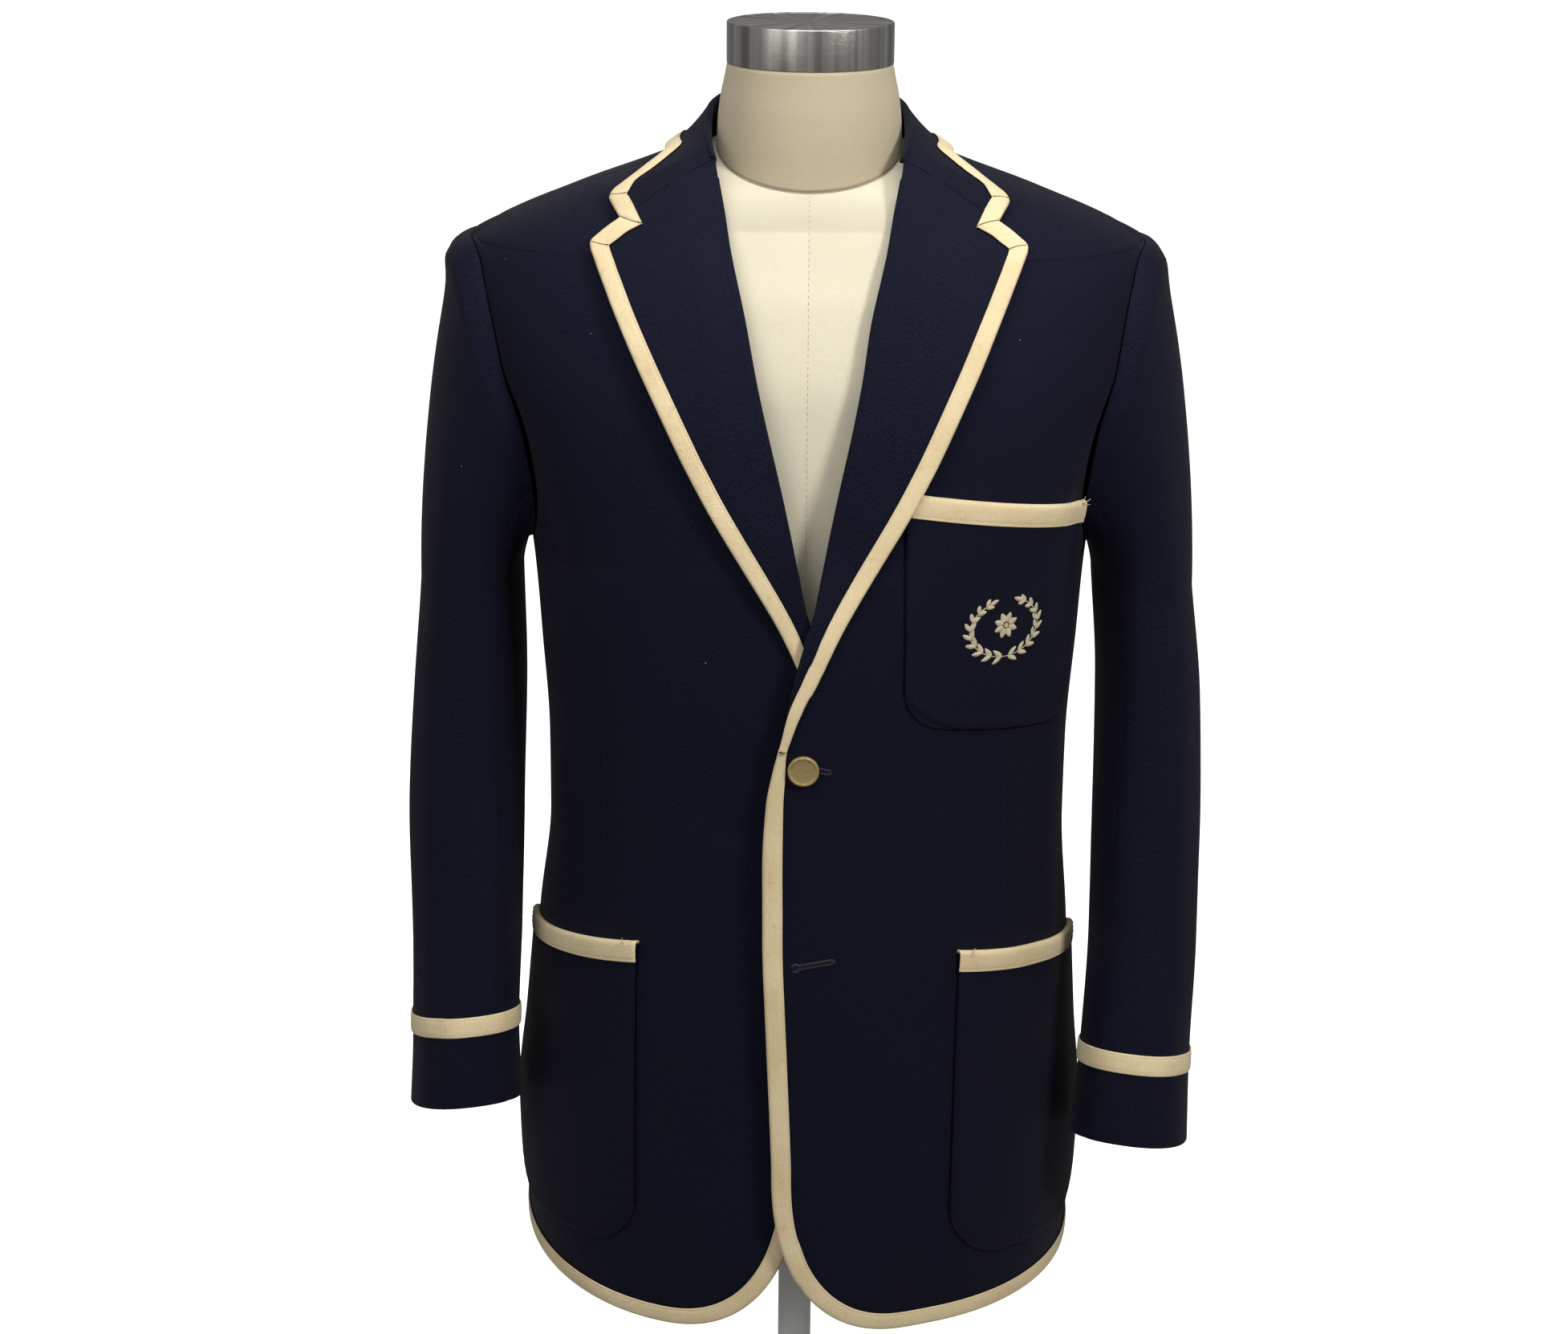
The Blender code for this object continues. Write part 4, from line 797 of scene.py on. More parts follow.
# ==== Fronts ====
# Each front is cut in one from shoulder to rounded hem corner, with a dart that ends at the pocket's
# mouth. The left front laps over the right and stands off it where they button.
BREAK = 0.657
OVERLAP_LIFT, OVERLAP_ACROSS, OVERLAP_REACH = 0.0108, 0.100, 0.025
OVERLAP_FADE, OVERLAP_TOP = 0.720, 0.800
CORNER_TOP, CORNER_REACH, CORNER_POWER, CORNER_SHARE = 0.345, 0.099, 2.4, 0.45
HEM_FRONT = {"left": 0.2080, "right": 0.2065}
DARTS = {"left": (0.1430, 0.645, 0.1480, 0.525), "right": (0.1480, 0.740, 0.1546, 0.525)}
DART_DEPTH, DART_HALF_WIDTH = 0.0007, 0.0016

ROLL_LINE = Sections(
    "height across",
    (0.657, -0.0195), (0.677, -0.0155), (0.708, -0.0095), (0.746, 0.0010), (0.820, 0.0165),
    (0.899, 0.0340), (0.936, 0.0405), (0.980, 0.0510), (1.005, 0.0560), (1.0285, 0.0625),
)
FRONT_EDGE = {
    "left": Sections(
        "height across",
        (0.345, -0.0183), (0.377, -0.0198), (0.463, -0.0246), (0.517, -0.0276), (0.574, -0.0287),
        (0.617, -0.0268), (0.641, -0.0230), (0.657, -0.0195),
    ),
    "right": Sections(
        "height across",
        (0.345, 0.0000), (0.377, -0.0030), (0.463, -0.0140), (0.517, -0.0210), (0.574, -0.0260),
        (0.617, -0.0268), (0.641, -0.0230), (0.657, -0.0195),
    ),
}

# Soft folds of a front: where each crosses the cloth, its length, half width, height out of the cloth
# and lean from upright. Positive ones are ridges and negative ones troughs.
FOLDS = {
    "left": (
        (0.205, 0.800, 0.150, 0.016, -0.0030, 12), (0.176, 0.560, 0.220, 0.020, -0.0018, -4),
        (0.070, 0.610, 0.080, 0.013, -0.0012, 58), (0.060, 0.330, 0.200, 0.030, 0.0022, 3),
        (0.200, 0.380, 0.160, 0.022, -0.0015, 6), (0.120, 0.900, 0.140, 0.026, 0.0010, -25),
    ),
    "right": (
        (0.205, 0.810, 0.140, 0.016, -0.0030, 12), (0.172, 0.600, 0.200, 0.020, -0.0020, -6),
        (0.060, 0.600, 0.070, 0.012, -0.0010, 62), (0.050, 0.330, 0.220, 0.032, 0.0018, 2),
        (0.196, 0.350, 0.150, 0.022, -0.0018, 8), (0.125, 0.880, 0.150, 0.026, 0.0012, -22),
    ),
}


def fold_lift(side, across, height):
    """Sum of a front's soft folds, each fading to nothing at its ends."""
    total = np.zeros(np.broadcast(across, height).shape)
    for middle, level, length, half_width, rise, lean in FOLDS[side]:
        c, s = math.cos(math.radians(lean)), math.sin(math.radians(lean))
        beside = (across - middle) * c - (height - level) * s
        along = (across - middle) * s + (height - level) * c
        total = total + rise * np.exp(-(beside / half_width) ** 2 - (2 * along / length) ** 4)
    return total


def overlap_lift(side, across, height):
    """The left front passes over the right one where they button."""
    if side == "right":
        return 0.0
    near = ease((OVERLAP_ACROSS - across) / (OVERLAP_ACROSS + OVERLAP_REACH))
    return OVERLAP_LIFT * near * (1 - ease((height - OVERLAP_FADE) / (OVERLAP_TOP - OVERLAP_FADE)))


def front_point(side, across, height, lift=0.0):
    """Points of one front, measured towards its own side."""
    across, height = np.broadcast_arrays(np.asarray(across, float), np.asarray(height, float))
    total = lift + overlap_lift(side, across, height) + fold_lift(side, across, height)
    turn = turn_at(SIGN[side] * across, height)
    return lifted(turn, height, total + shoulder_round(turn, height, "front"))


def dart_lift(side, across, height):
    """Pressed dart: a narrow groove that runs out at its top."""
    top_across, top, foot_across, foot = DARTS[side]
    share = np.clip((top - height) / (top - foot), 0, 1)
    middle = mix(top_across, foot_across, share)
    depth = DART_DEPTH * ease((top - height) / 0.05) * ease((height - foot + 0.02) / 0.02)
    return -depth * np.exp(-((across - middle) / DART_HALF_WIDTH) ** 2)


def hem_point(side, part):
    """Across and height of the hem: round the front corner, then along to the side seam."""
    edge = FRONT_EDGE[side].read("across", CORNER_TOP)
    power = 2 / CORNER_POWER
    angle = np.pi / 2 * np.clip(part / CORNER_SHARE, 0, 1)
    corner = edge + CORNER_REACH * (1 - np.cos(angle) ** power)
    corner_height = CORNER_TOP - (CORNER_TOP - HEM_FRONT[side]) * np.sin(angle) ** power
    along = np.clip((part - CORNER_SHARE) / (1 - CORNER_SHARE), 0, 1)
    height = mix(HEM_FRONT[side], HEM_SIDE[side], ease(along))
    straight = mix(edge + CORNER_REACH, across_at(SIDE_SEAM, height) - SEAM / 2, along)
    round_part = part <= CORNER_SHARE
    return np.where(round_part, corner, straight), np.where(round_part, corner_height, height)


def front_edge(side, height):
    below = FRONT_EDGE[side].read("across", height)
    return np.where(height < BREAK, below, ROLL_LINE.read("across", height))


def front_grid(side):
    """One front, from the hem up to the shoulder seam, ending in front at the roll line."""
    dart = 0.5 * (DARTS[side][0] + DARTS[side][2])
    parts = panel_parts(58, False, True)
    near_dart = (dart + 0.022 + np.linspace(-0.004, 0.004, 7)) / 0.305
    parts = np.unique(np.concatenate([parts, near_dart]))
    seam = across_at(SIDE_SEAM, BODY_START) - SEAM / 2
    top = mix(front_edge(side, BODY_START), seam, parts)
    hem_across, hem_height = hem_point(side, parts)
    rows = []
    for rise in np.linspace(0, 1, 34)[:-1] ** 1.15:
        across, level = mix(hem_across, top, rise), mix(hem_height, BODY_START, rise)
        to_seam = across_at(SIDE_SEAM, level[-1]) - SEAM / 2 - across[-1]
        rows.append((across + to_seam * ease(parts), level))
    for level in PANEL_LEVELS:
        start, end = front_edge(side, level), across_at(outer_turn(level, "front"), level) - SEAM / 2
        rows.append((mix(start, end, parts), np.full_like(parts, level)))
    for rise in np.linspace(0, 1, 8)[1:]:
        level = mix(PANEL_LEVELS[-1], mix(1.0205, NECKLINE - 0.0005, parts), rise)
        start, end = front_edge(side, level), across_at(math.pi / 2, level) - SEAM / 2
        rows.append((mix(start, end, parts), level))
    grid = []
    for across, level in rows:
        lift = dart_lift(side, across, level) + 0.5 * seam_roll(across[-1] - across)
        grid.append(front_point(side, across, level, lift))
    return leftward(side, np.array(grid))


for side in SIGN:
    worsted("front_" + side, front_grid(side))


# ==== Sleeves ====
# Two-piece sleeves: a wide top piece and a narrow under piece, set into the armhole with a little
# roping at the shoulder. They hang almost straight and swing forward at the elbow.
SLEEVE = {
    "right": Sections(
        "height out    forward half_out half_deep twist",
        (0.350, 0.2410, 0.056, 0.0400, 0.050, 14),
        (0.400, 0.2410, 0.048, 0.0380, 0.053, 12),
        (0.480, 0.2390, 0.032, 0.0390, 0.058, 8),
        (0.560, 0.2385, 0.018, 0.0405, 0.064, 4),
        (0.660, 0.2345, 0.006, 0.0385, 0.070, 0),
        (0.735, 0.2325, 0.000, 0.0350, 0.074, 0),
    ),
    "left": Sections(
        "height out    forward half_out half_deep twist",
        (0.334, 0.2400, 0.074, 0.0420, 0.050, 14),
        (0.400, 0.2430, 0.062, 0.0390, 0.053, 12),
        (0.480, 0.2460, 0.044, 0.0380, 0.058, 8),
        (0.560, 0.2460, 0.028, 0.0375, 0.064, 4),
        (0.660, 0.2440, 0.012, 0.0350, 0.070, 0),
        (0.735, 0.2380, 0.000, 0.0340, 0.074, 0),
    ),
}
SLEEVE_HEAD_BOTTOM = 0.735
CUFF_TILT, CUFF_LEAN = 0.27, 0.10
ARMHOLE_STEPS = 10
UNDER_SLEEVE_STEPS = (7, 13)
SLEEVE_SQUARE, CUFF_SLANT_TOP, CUFF_SLANT_FADE = 2.3, 0.620, 0.220
HEAD_LEAVE, HEAD_ARRIVE = (0.018, 0.055), (0.03, 0.30)   # pull of the head's curve, at underarm and top
ROPING, ROPING_AT, ROPING_WIDTH = 0.0009, 0.045, 0.035
HEAD_FULLNESS, HEAD_FULLEST = {"right": 0.0085, "left": 0.0052}, 0.150   # metres, and share of the head
FOLD_FADE, HEAD_FADE_ROWS = 0.030, 14

# Folds of a sleeve: angle round it in degrees (0 outermost, 90 in front), level, length, half width,
# height out of the cloth, and how far it turns round the sleeve for each metre up.
SLEEVE_FOLDS = {
    "right": (
        (20, 0.560, 0.300, 0.012, 0.0022, 60), (62, 0.470, 0.170, 0.012, -0.0018, 160),
        (100, 0.640, 0.200, 0.014, -0.0022, -140), (45, 0.820, 0.160, 0.015, -0.0014, -120),
        (-40, 0.600, 0.260, 0.016, -0.0024, 90), (-110, 0.560, 0.160, 0.014, -0.0024, 200),
    ),
    "left": (
        (18, 0.570, 0.320, 0.012, 0.0022, 40), (70, 0.500, 0.150, 0.012, -0.0018, 200),
        (96, 0.660, 0.180, 0.014, -0.0022, -160), (50, 0.800, 0.150, 0.015, -0.0014, -120),
        (-44, 0.580, 0.240, 0.016, -0.0024, 100), (-105, 0.540, 0.150, 0.014, -0.0024, 180),
    ),
}


def sleeve_point(side, angle, height):
    table = SLEEVE[side]
    power = 2 / SLEEVE_SQUARE
    cosine, sine = np.cos(angle), np.sin(angle)
    out = table.read("half_out", height) * np.sign(cosine) * np.abs(cosine) ** power
    deep = table.read("half_deep", height) * np.sign(sine) * np.abs(sine) ** power
    twist = np.radians(table.read("twist", height))
    sideways = out * np.cos(twist) - deep * np.sin(twist)
    ahead = deep * np.cos(twist) + out * np.sin(twist)
    slant = ease((CUFF_SLANT_TOP - height) / CUFF_SLANT_FADE)
    rise = (CUFF_TILT * ahead - CUFF_LEAN * sideways) * slant
    return points_of(SIGN[side] * (table.read("out", height) + sideways),
                     -table.read("forward", height) - ahead, height + rise)


def armhole_point(side, angle):
    """Start of the sleeve, a seam's width inside the armhole."""
    angle = angle % (2 * np.pi)
    height = ARMHOLE_MIDDLE + ARMHOLE_HALF * np.cos(angle)
    turn = np.where(angle < np.pi, armhole_turn(height, "front"), armhole_turn(height, "back"))
    across = across_at(turn, height) + 1.5 * SEAM * np.sin(angle)
    point = lifted(turn_at(SIGN[side] * across, height), height)
    point[:, 2] -= SEAM * np.cos(angle) * 1.4
    return point


def sleeve_fold(side, angle, height):
    total = np.zeros_like(angle)
    for degrees, level, length, half_width, rise, turning in SLEEVE_FOLDS[side]:
        middle = np.radians(degrees + turning * (height - level))
        away = (angle - middle + np.pi) % (2 * np.pi) - np.pi
        beside = away * 0.055 / half_width
        total = total + rise * np.exp(-beside ** 2 - (2 * (height - level) / length) ** 4)
    return total


def sleeve_grid(side, angles, seam_angles):
    """Rows from the cuff up to the armhole, turned to run to the wearer's left."""
    table = SLEEVE[side]
    rows, levels = [], []
    for height in np.concatenate([table.at[0] + np.array([0, 0.0008, 0.002, 0.005]),
                                  np.linspace(table.at[0] + 0.010, SLEEVE_HEAD_BOTTOM, 64)]):
        rows.append(sleeve_point(side, angles, height))
        levels.append(np.full_like(angles, height))
    start, end = armhole_point(side, angles), sleeve_point(side, angles, SLEEVE_HEAD_BOTTOM)
    top = ((1 + np.cos(angles)) / 2)[:, None]
    outward = [np.full_like(top, SIGN[side]), -0.35 * np.sin(angles)[:, None], -0.10 * top]
    outward = unit(np.concatenate(outward, 1))
    leave = outward * mix(*HEAD_LEAVE, top ** 0.6)
    arrive = np.concatenate([np.zeros_like(top), np.zeros_like(top), -mix(*HEAD_ARRIVE, top)], 1)
    for part in [*np.linspace(1, 0.08, 36)[1:], 0.06, 0.045, 0.03, 0.02, 0.010, 0.004, 0.0]:
        square, cube = part * part, part ** 3
        row = (start * (2 * cube - 3 * square + 1) + leave * (cube - 2 * square + part)
               + end * (3 * square - 2 * cube) + arrive * (cube - square))
        rope = ROPING * top * (math.exp(-((part - ROPING_AT) / ROPING_WIDTH) ** 2)
                               - math.exp(-(ROPING_AT / ROPING_WIDTH) ** 2) * math.exp(-(part / 0.02) ** 2))
        reached = (part / HEAD_FULLEST) ** 2
        full = HEAD_FULLNESS[side] * top * reached * math.exp(1 - reached)
        rows.append(row + outward * rope + full * np.array([SIGN[side], 0, -0.25]))
        levels.append(row[:, 2])
    grid = np.array(rows)
    along = np.gradient(grid, axis=1) * -SIGN[side]
    normal = unit(np.cross(along, np.gradient(grid, axis=0)))
    heights = np.array(levels)
    fold = np.array([sleeve_fold(side, angles, row) for row in heights])
    fade = np.concatenate([np.ones(len(rows) - HEAD_FADE_ROWS), ease(np.linspace(1, 0, HEAD_FADE_ROWS))])
    seam = sum(seam_roll((angles - at) * 0.05, 0.0006, 0.003) for at in seam_angles)
    fade = fade[:, None] * ease((heights - table.at[0]) / FOLD_FADE)
    grid = grid + normal * (fold * fade + seam)[..., None]
    return grid[:, ::-1] if side == "left" else grid


def sleeve_angles(first, last, count):
    """Angles from seam to seam, closer together at each seam."""
    step, gap = math.pi / ARMHOLE_STEPS, math.radians(0.17)
    start, end = first * step + gap, last * step - gap
    close = np.radians([1.2, 3.0])
    return np.unique(np.concatenate([np.linspace(start, end, count), start + close, end - close]))


first, last = UNDER_SLEEVE_STEPS
for side in SIGN:
    for name, start, end, count in (("sleeve_under_", first, last, 26),
                                    ("sleeve_top_", last - 2 * ARMHOLE_STEPS, first, 58)):
        angles = sleeve_angles(start, end, count)
        worsted(name + side, sleeve_grid(side, angles, angles[[0, -1]]))


# ==== Patch pockets ====
# Three unlined patches with round lower corners, felled on from behind so that no stitch shows. Their
# edges are turned under, which makes them soft and a little higher than the cloth round them.
POCKET_CLOTH, POCKET_LIFT, POCKET_TAPE_WIDTH = 0.0016, 0.0027, 0.0145
POCKET_ROUND, POCKET_ROUND_WIDTH = 0.0011, 0.0022
POCKET_RIDGE, POCKET_RIDGE_IN, POCKET_RIDGE_WIDTH = 0.0005, 0.0045, 0.0035
POCKETS = {
    "chest_pocket": dict(side="left", front=0.0625, width=0.150, top=0.8285, bottom=0.671,
                         corner=0.026, mouth_slant=0.155, bottom_slant=0.150),
    "hip_pocket_left": dict(side="left", front=0.1090, width=0.165, top=0.4995, bottom=0.2575,
                            corner=0.045, mouth_slant=0.190, bottom_slant=0.070),
    "hip_pocket_right": dict(side="right", front=0.1195, width=0.165, top=0.5020, bottom=0.2600,
                             corner=0.045, mouth_slant=0.190, bottom_slant=0.020),
}


def pocket_level(pocket, part, rise):
    """Across and height in a patch pocket, with round lower corners."""
    corner, width = pocket["corner"], pocket["width"]
    full = pocket["top"] - pocket["bottom"]
    from_bottom = rise * full
    below = np.clip(corner - from_bottom, 0, corner)
    inset = corner - np.sqrt(corner ** 2 - below ** 2)
    across = mix(inset, width - inset, part)
    drop = mix(pocket["bottom_slant"], pocket["mouth_slant"], rise) * across
    return pocket["front"] + across, pocket["bottom"] + from_bottom - drop


def from_pocket_edge(pocket, part, rise):
    """Distance to the nearest turned edge of a patch."""
    full = pocket["top"] - pocket["bottom"]
    corner, width = pocket["corner"], pocket["width"]
    x = np.minimum(part, 1 - part) * width
    y = rise * full
    inner = np.hypot(np.clip(corner - x, 0, None), np.clip(corner - y, 0, None))
    return np.where((x < corner) & (y < corner), corner - inner, np.minimum(x, y))


def pocket_lift(pocket, part, rise):
    """Outer face of a patch: up over its turned edge, then a little lower in the middle."""
    away = np.clip(from_pocket_edge(pocket, part, rise), 0, None)
    inside = np.clip(away / POCKET_ROUND_WIDTH, 0, 1)
    rounded = POCKET_ROUND * np.sqrt(np.clip(1 - (1 - inside) ** 2, 0, 1))
    ridge = POCKET_RIDGE * np.exp(-((away - POCKET_RIDGE_IN) / POCKET_RIDGE_WIDTH) ** 2)
    return POCKET_LIFT - 0.0007 + rounded + ridge


def close_to_ends(count, width, both=True):
    """Even parts with some closer to 0, and to 1."""
    near = np.array([0.0004, 0.0010, 0.0018, 0.0030, 0.0045, 0.0065]) / width
    return np.unique(np.concatenate([np.linspace(0, 1, count), near, 1 - near if both else []]))


for name, pocket in POCKETS.items():
    full, corner = pocket["top"] - pocket["bottom"], pocket["corner"]
    parts = close_to_ends(34, pocket["width"])
    curve = corner * (1 - np.cos(np.radians(np.arange(0, 91, 4.5)))) / full
    low = close_to_ends(10, full, False)[:7]
    rises = np.unique(np.concatenate([curve, low, np.linspace(corner / full, 1, 36)]))
    across, level = pocket_level(pocket, parts[None, :], rises[:, None])
    lift = pocket_lift(pocket, parts[None, :], rises[:, None])
    grid = leftward(pocket["side"], front_point(pocket["side"], across, level, lift))
    worsted(name, grid, POCKET_CLOTH)


# ==== Lapels ====
# The facings, folded back along a soft roll from the break at the button up to the notch. The outer
# edge springs a little off the chest and throws a narrow shadow.
LAPEL_EDGE = Sections(
    "height across",
    (0.657, -0.0150), (0.680, -0.0074), (0.710, 0.0066), (0.740, 0.0203), (0.825, 0.0690),
    (0.897, 0.1045), (0.978, 0.1425),
)
ROLL_TOP, LAPEL_TIP = 1.0285, 0.978
NOTCH_ACROSS, NOTCH_HEIGHT, NOTCH_SHARE = 0.1225, 0.991, 0.76
LAPEL_GAP, LAPEL_ROLL, LAPEL_SWELL, LAPEL_SPRING, LAPEL_NECK = 0.0008, 0.0032, 0.0012, 0.0035, 0.0016


def lapel_lift(across, height):
    """Outer face of a lapel over its front: a soft roll, then a little higher to the free edge."""
    from_roll = across - ROLL_LINE.read("across", height)
    open_part = ease((height - 0.690) / 0.090)
    neck_part = ease((height - 0.985) / 0.030)
    spring = LAPEL_SPRING * ease((from_roll - 0.02) / 0.07) * ease((0.985 - height) / 0.12)
    rise = LAPEL_ROLL * ease(from_roll / 0.030) + LAPEL_SWELL * ease(from_roll / 0.080) + spring
    return CLOTH + LAPEL_GAP + rise * open_part + LAPEL_NECK * neck_part


def lapel_top(part):
    """Across and height along the lapel's top, roll line to notch to tip."""
    part = np.asarray(part, float)
    roll = (ROLL_LINE.read("across", ROLL_TOP), ROLL_TOP)
    tip = (LAPEL_EDGE.read("across", LAPEL_TIP), LAPEL_TIP)
    before, after = part / NOTCH_SHARE, (part - NOTCH_SHARE) / (1 - NOTCH_SHARE)
    return [np.where(part <= NOTCH_SHARE, mix(start, notch, before), mix(notch, end, after))
            for start, notch, end in zip(roll, (NOTCH_ACROSS, NOTCH_HEIGHT), tip)]


def roll_under(part):
    """The fold's own rounding, close to the roll line."""
    return -0.0011 * np.exp(-(part / 0.02) ** 2)


for side in SIGN:
    parts = np.unique(np.concatenate([np.linspace(0, NOTCH_SHARE, 24), np.linspace(NOTCH_SHARE, 1, 9),
                                      [0.006, 0.014, 0.024]]))
    rows = []
    for rise in np.unique(np.concatenate([np.linspace(0, 1, 72), [0.99, 0.996]])):
        roll_height, edge_height = mix(BREAK, ROLL_TOP, rise), mix(BREAK, LAPEL_TIP, rise)
        roll, edge = ROLL_LINE.read("across", roll_height), LAPEL_EDGE.read("across", edge_height)
        top_across, top_height = lapel_top(parts)
        bend = ease((rise - 0.8) / 0.2)
        straight = mix(ROLL_LINE.read("across", ROLL_TOP), LAPEL_EDGE.read("across", LAPEL_TIP), parts)
        across = mix(roll, edge, parts) + bend * (top_across - straight)
        height = mix(roll_height, edge_height, parts)
        height = height + bend * (top_height - mix(ROLL_TOP, LAPEL_TIP, parts))
        rows.append(front_point(side, across, height, lapel_lift(across, height) + roll_under(parts)))
    worsted("lapel_" + side, leftward(side, np.array(rows)))


# ==== Collar ====
# One piece folded over its stand: the fall lies on the shoulders and the stand rises round the neck
# inside it. Its ends are seamed to the lapels as far as the notches.
COLLAR = Sections(
    "rib neck_turn fold_x fold_y fold_z edge_turn edge_height",
    (0, 180.0, 0.0000, 0.0730, 1.0670, 180.0, 1.0180),
    (1, 152.0, 0.0330, 0.0655, 1.0660, 154.0, 1.0192),
    (2, 124.0, 0.0550, 0.0415, 1.0625, 128.0, 1.0226),
    (3, 101.0, 0.0640, 0.0160, 1.0570, 106.0, 1.0262),
    (4, 84.0, 0.0648, -0.0080, 1.0515, 83.0, 1.0270),
    (5, 70.0, 0.0644, -0.0265, 1.0460, 64.0, 1.0176),
    (6, 59.0, 0.0632, -0.0415, 1.0402, 55.7, 1.0096),
    (7, 52.5, 0.0618, -0.0485, 1.0360, 51.8, 1.0035),
    (8, 49.5, 0.0606, -0.0534, 1.0324, 34.5, 0.9900),
)
COLLAR_TIP_RIB = 7.0
FALL_PARTS = (0.0, 0.28, 0.56, 0.80, 1.0)
GORGE_PARTS, GORGE_RISE = (0.76, 0.57, 0.38, 0.19, 0.03), 0.0004
COLLAR_SPRING, BACK_SPRING, FALL_ROUNDING = 0.0042, 0.0030, 0.0055
FOOT_RISE, FOOT_DROP, FOOT_LIFT = 0.0006, 0.0098, -0.0006
FALL_HOLLOW, FALL_ROUND = -0.0042, 0.0036       # fullness of the fall beside the neck, and at the gorge


def collar_rib(rib, side):
    """Points of the collar across it: free edge, up the fall, over the fold, down to the stand's foot."""
    sign = SIGN[side]
    fold = np.array([COLLAR.read("fold_" + axis, rib) for axis in "xyz"]) * (sign, 1, 1)
    edge = lifted(sign * np.radians(COLLAR.read("edge_turn", rib)), COLLAR.read("edge_height", rib),
                  mix(COLLAR_SPRING, BACK_SPRING, ease(4.0 - rib))).reshape(3)
    foot = lifted(sign * np.radians(COLLAR.read("neck_turn", rib)),
                  NECKLINE + FOOT_RISE - FOOT_DROP * ease((rib - 4) / 4), FOOT_LIFT).reshape(3)
    outward = unit(fold * (1, 1, 0))
    shoulder = fold + outward * FALL_ROUNDING + (0, 0, -0.0030)
    handle = mix(shoulder, edge, 0.45) + (0, 0, mix(FALL_HOLLOW, FALL_ROUND, ease((rib - 4.5) / 2.5)))
    points = [edge * (1 - part) ** 2 + handle * 2 * part * (1 - part) + shoulder * part ** 2
              for part in FALL_PARTS]
    points += [fold + outward * 0.0032, fold - outward * 0.0005 + (0, 0, -0.0028),
               mix(fold - outward * 0.0010, foot, 0.55), foot]
    return np.array(points)


def gorge_rib(side):
    """The collar's seam with the lapel, laid along the lapel's top as far as the notch."""
    points = collar_rib(8.0, side)
    across, height = lapel_top(GORGE_PARTS)
    points[:len(GORGE_PARTS)] = front_point(side, across, height + GORGE_RISE, lapel_lift(across, height))
    return points


def curve_through(points, steps):
    """Smooth curve through a row of points, with even steps between each two."""
    ahead = np.vstack([2 * points[0] - points[1], points, 2 * points[-1] - points[-2]])
    curve = []
    for k in range(1, len(ahead) - 2):
        a, b, c, d = ahead[k - 1:k + 3]
        for t in np.arange(steps) / steps:
            curve.append(0.5 * (2 * b + (c - a) * t + (2 * a - 5 * b + 4 * c - d) * t ** 2
                                + (3 * b - a - 3 * c + d) * t ** 3))
    return np.array([*curve, points[-1]])


def collar_half(side):
    """Ribs from the centre back to the gorge, the last of them straight from the tip to the notch."""
    ribs = [collar_rib(rib, side) for rib in np.arange(0, 6.51, 0.125)]
    tip, middle, gorge = collar_rib(COLLAR_TIP_RIB, side), collar_rib(7.5, side), gorge_rib(side)
    straight = mix(tip[0], gorge[0], 0.5) - middle[0]
    middle = middle + straight * np.linspace(1, 0, len(middle))[:, None] ** 2
    for corner in (tip, middle, gorge):
        before = ribs[-1]
        ribs += [mix(before, corner, part) for part in (0.25, 0.5, 0.75, 1.0)]
    return ribs


halves = {side: collar_half(side) for side in SIGN}
collar_ribs = np.array([curve_through(rib, 5) for rib in halves["left"][::-1] + halves["right"][1:]])
worsted("collar", collar_ribs.transpose(1, 0, 2))


# ==== Edge tapes ====
# Flat cream tape, folded over the raw edges of the fronts, hem, back, lapels and collar, with mitred
# corners, and sewn down by one row of stitches close to its inner edge.
EDGE_TAPE = Sections(
    "height width",
    (0.200, 0.0125), (0.574, 0.0122), (0.617, 0.0105), (0.641, 0.0080), (0.657, 0.0052),
    (0.690, 0.0082), (0.740, 0.0098), (0.800, 0.0108), (0.860, 0.0112), (1.000, 0.0112),
)
COLLAR_TAPE_WIDTH = 0.0112
TAPE, TAPE_JOIN, TAPE_OVERLAP = 0.0009, 0.6578, 0.0005
LAPEL_TOP_TAPE = 0.78            # width of the tape over the lapel's top, as a share of the edge tape's
MITRE_LINE, MITRE_BOW = 0.0021, 0.0006
# Across a folded tape: share of its width from the edge, and height over the cloth under it.
FOLDED_TAPE = (
    (0.10, -0.0030), (-0.02, -0.0027), (-0.07, -0.0019), (-0.09, -0.0008), (-0.07, 0.0004), (-0.02, 0.0013),
    (0.05, 0.0018), (0.16, 0.0020), (0.35, 0.0021), (0.55, 0.0020), (0.72, 0.0019), (0.82, 0.0017),
    (0.88, 0.0014), (0.92, 0.0016), (0.97, 0.0016), (1.00, 0.0011),
)
TAPE_STITCH, TAPE_STITCH_LIFT = 0.88, 0.00145


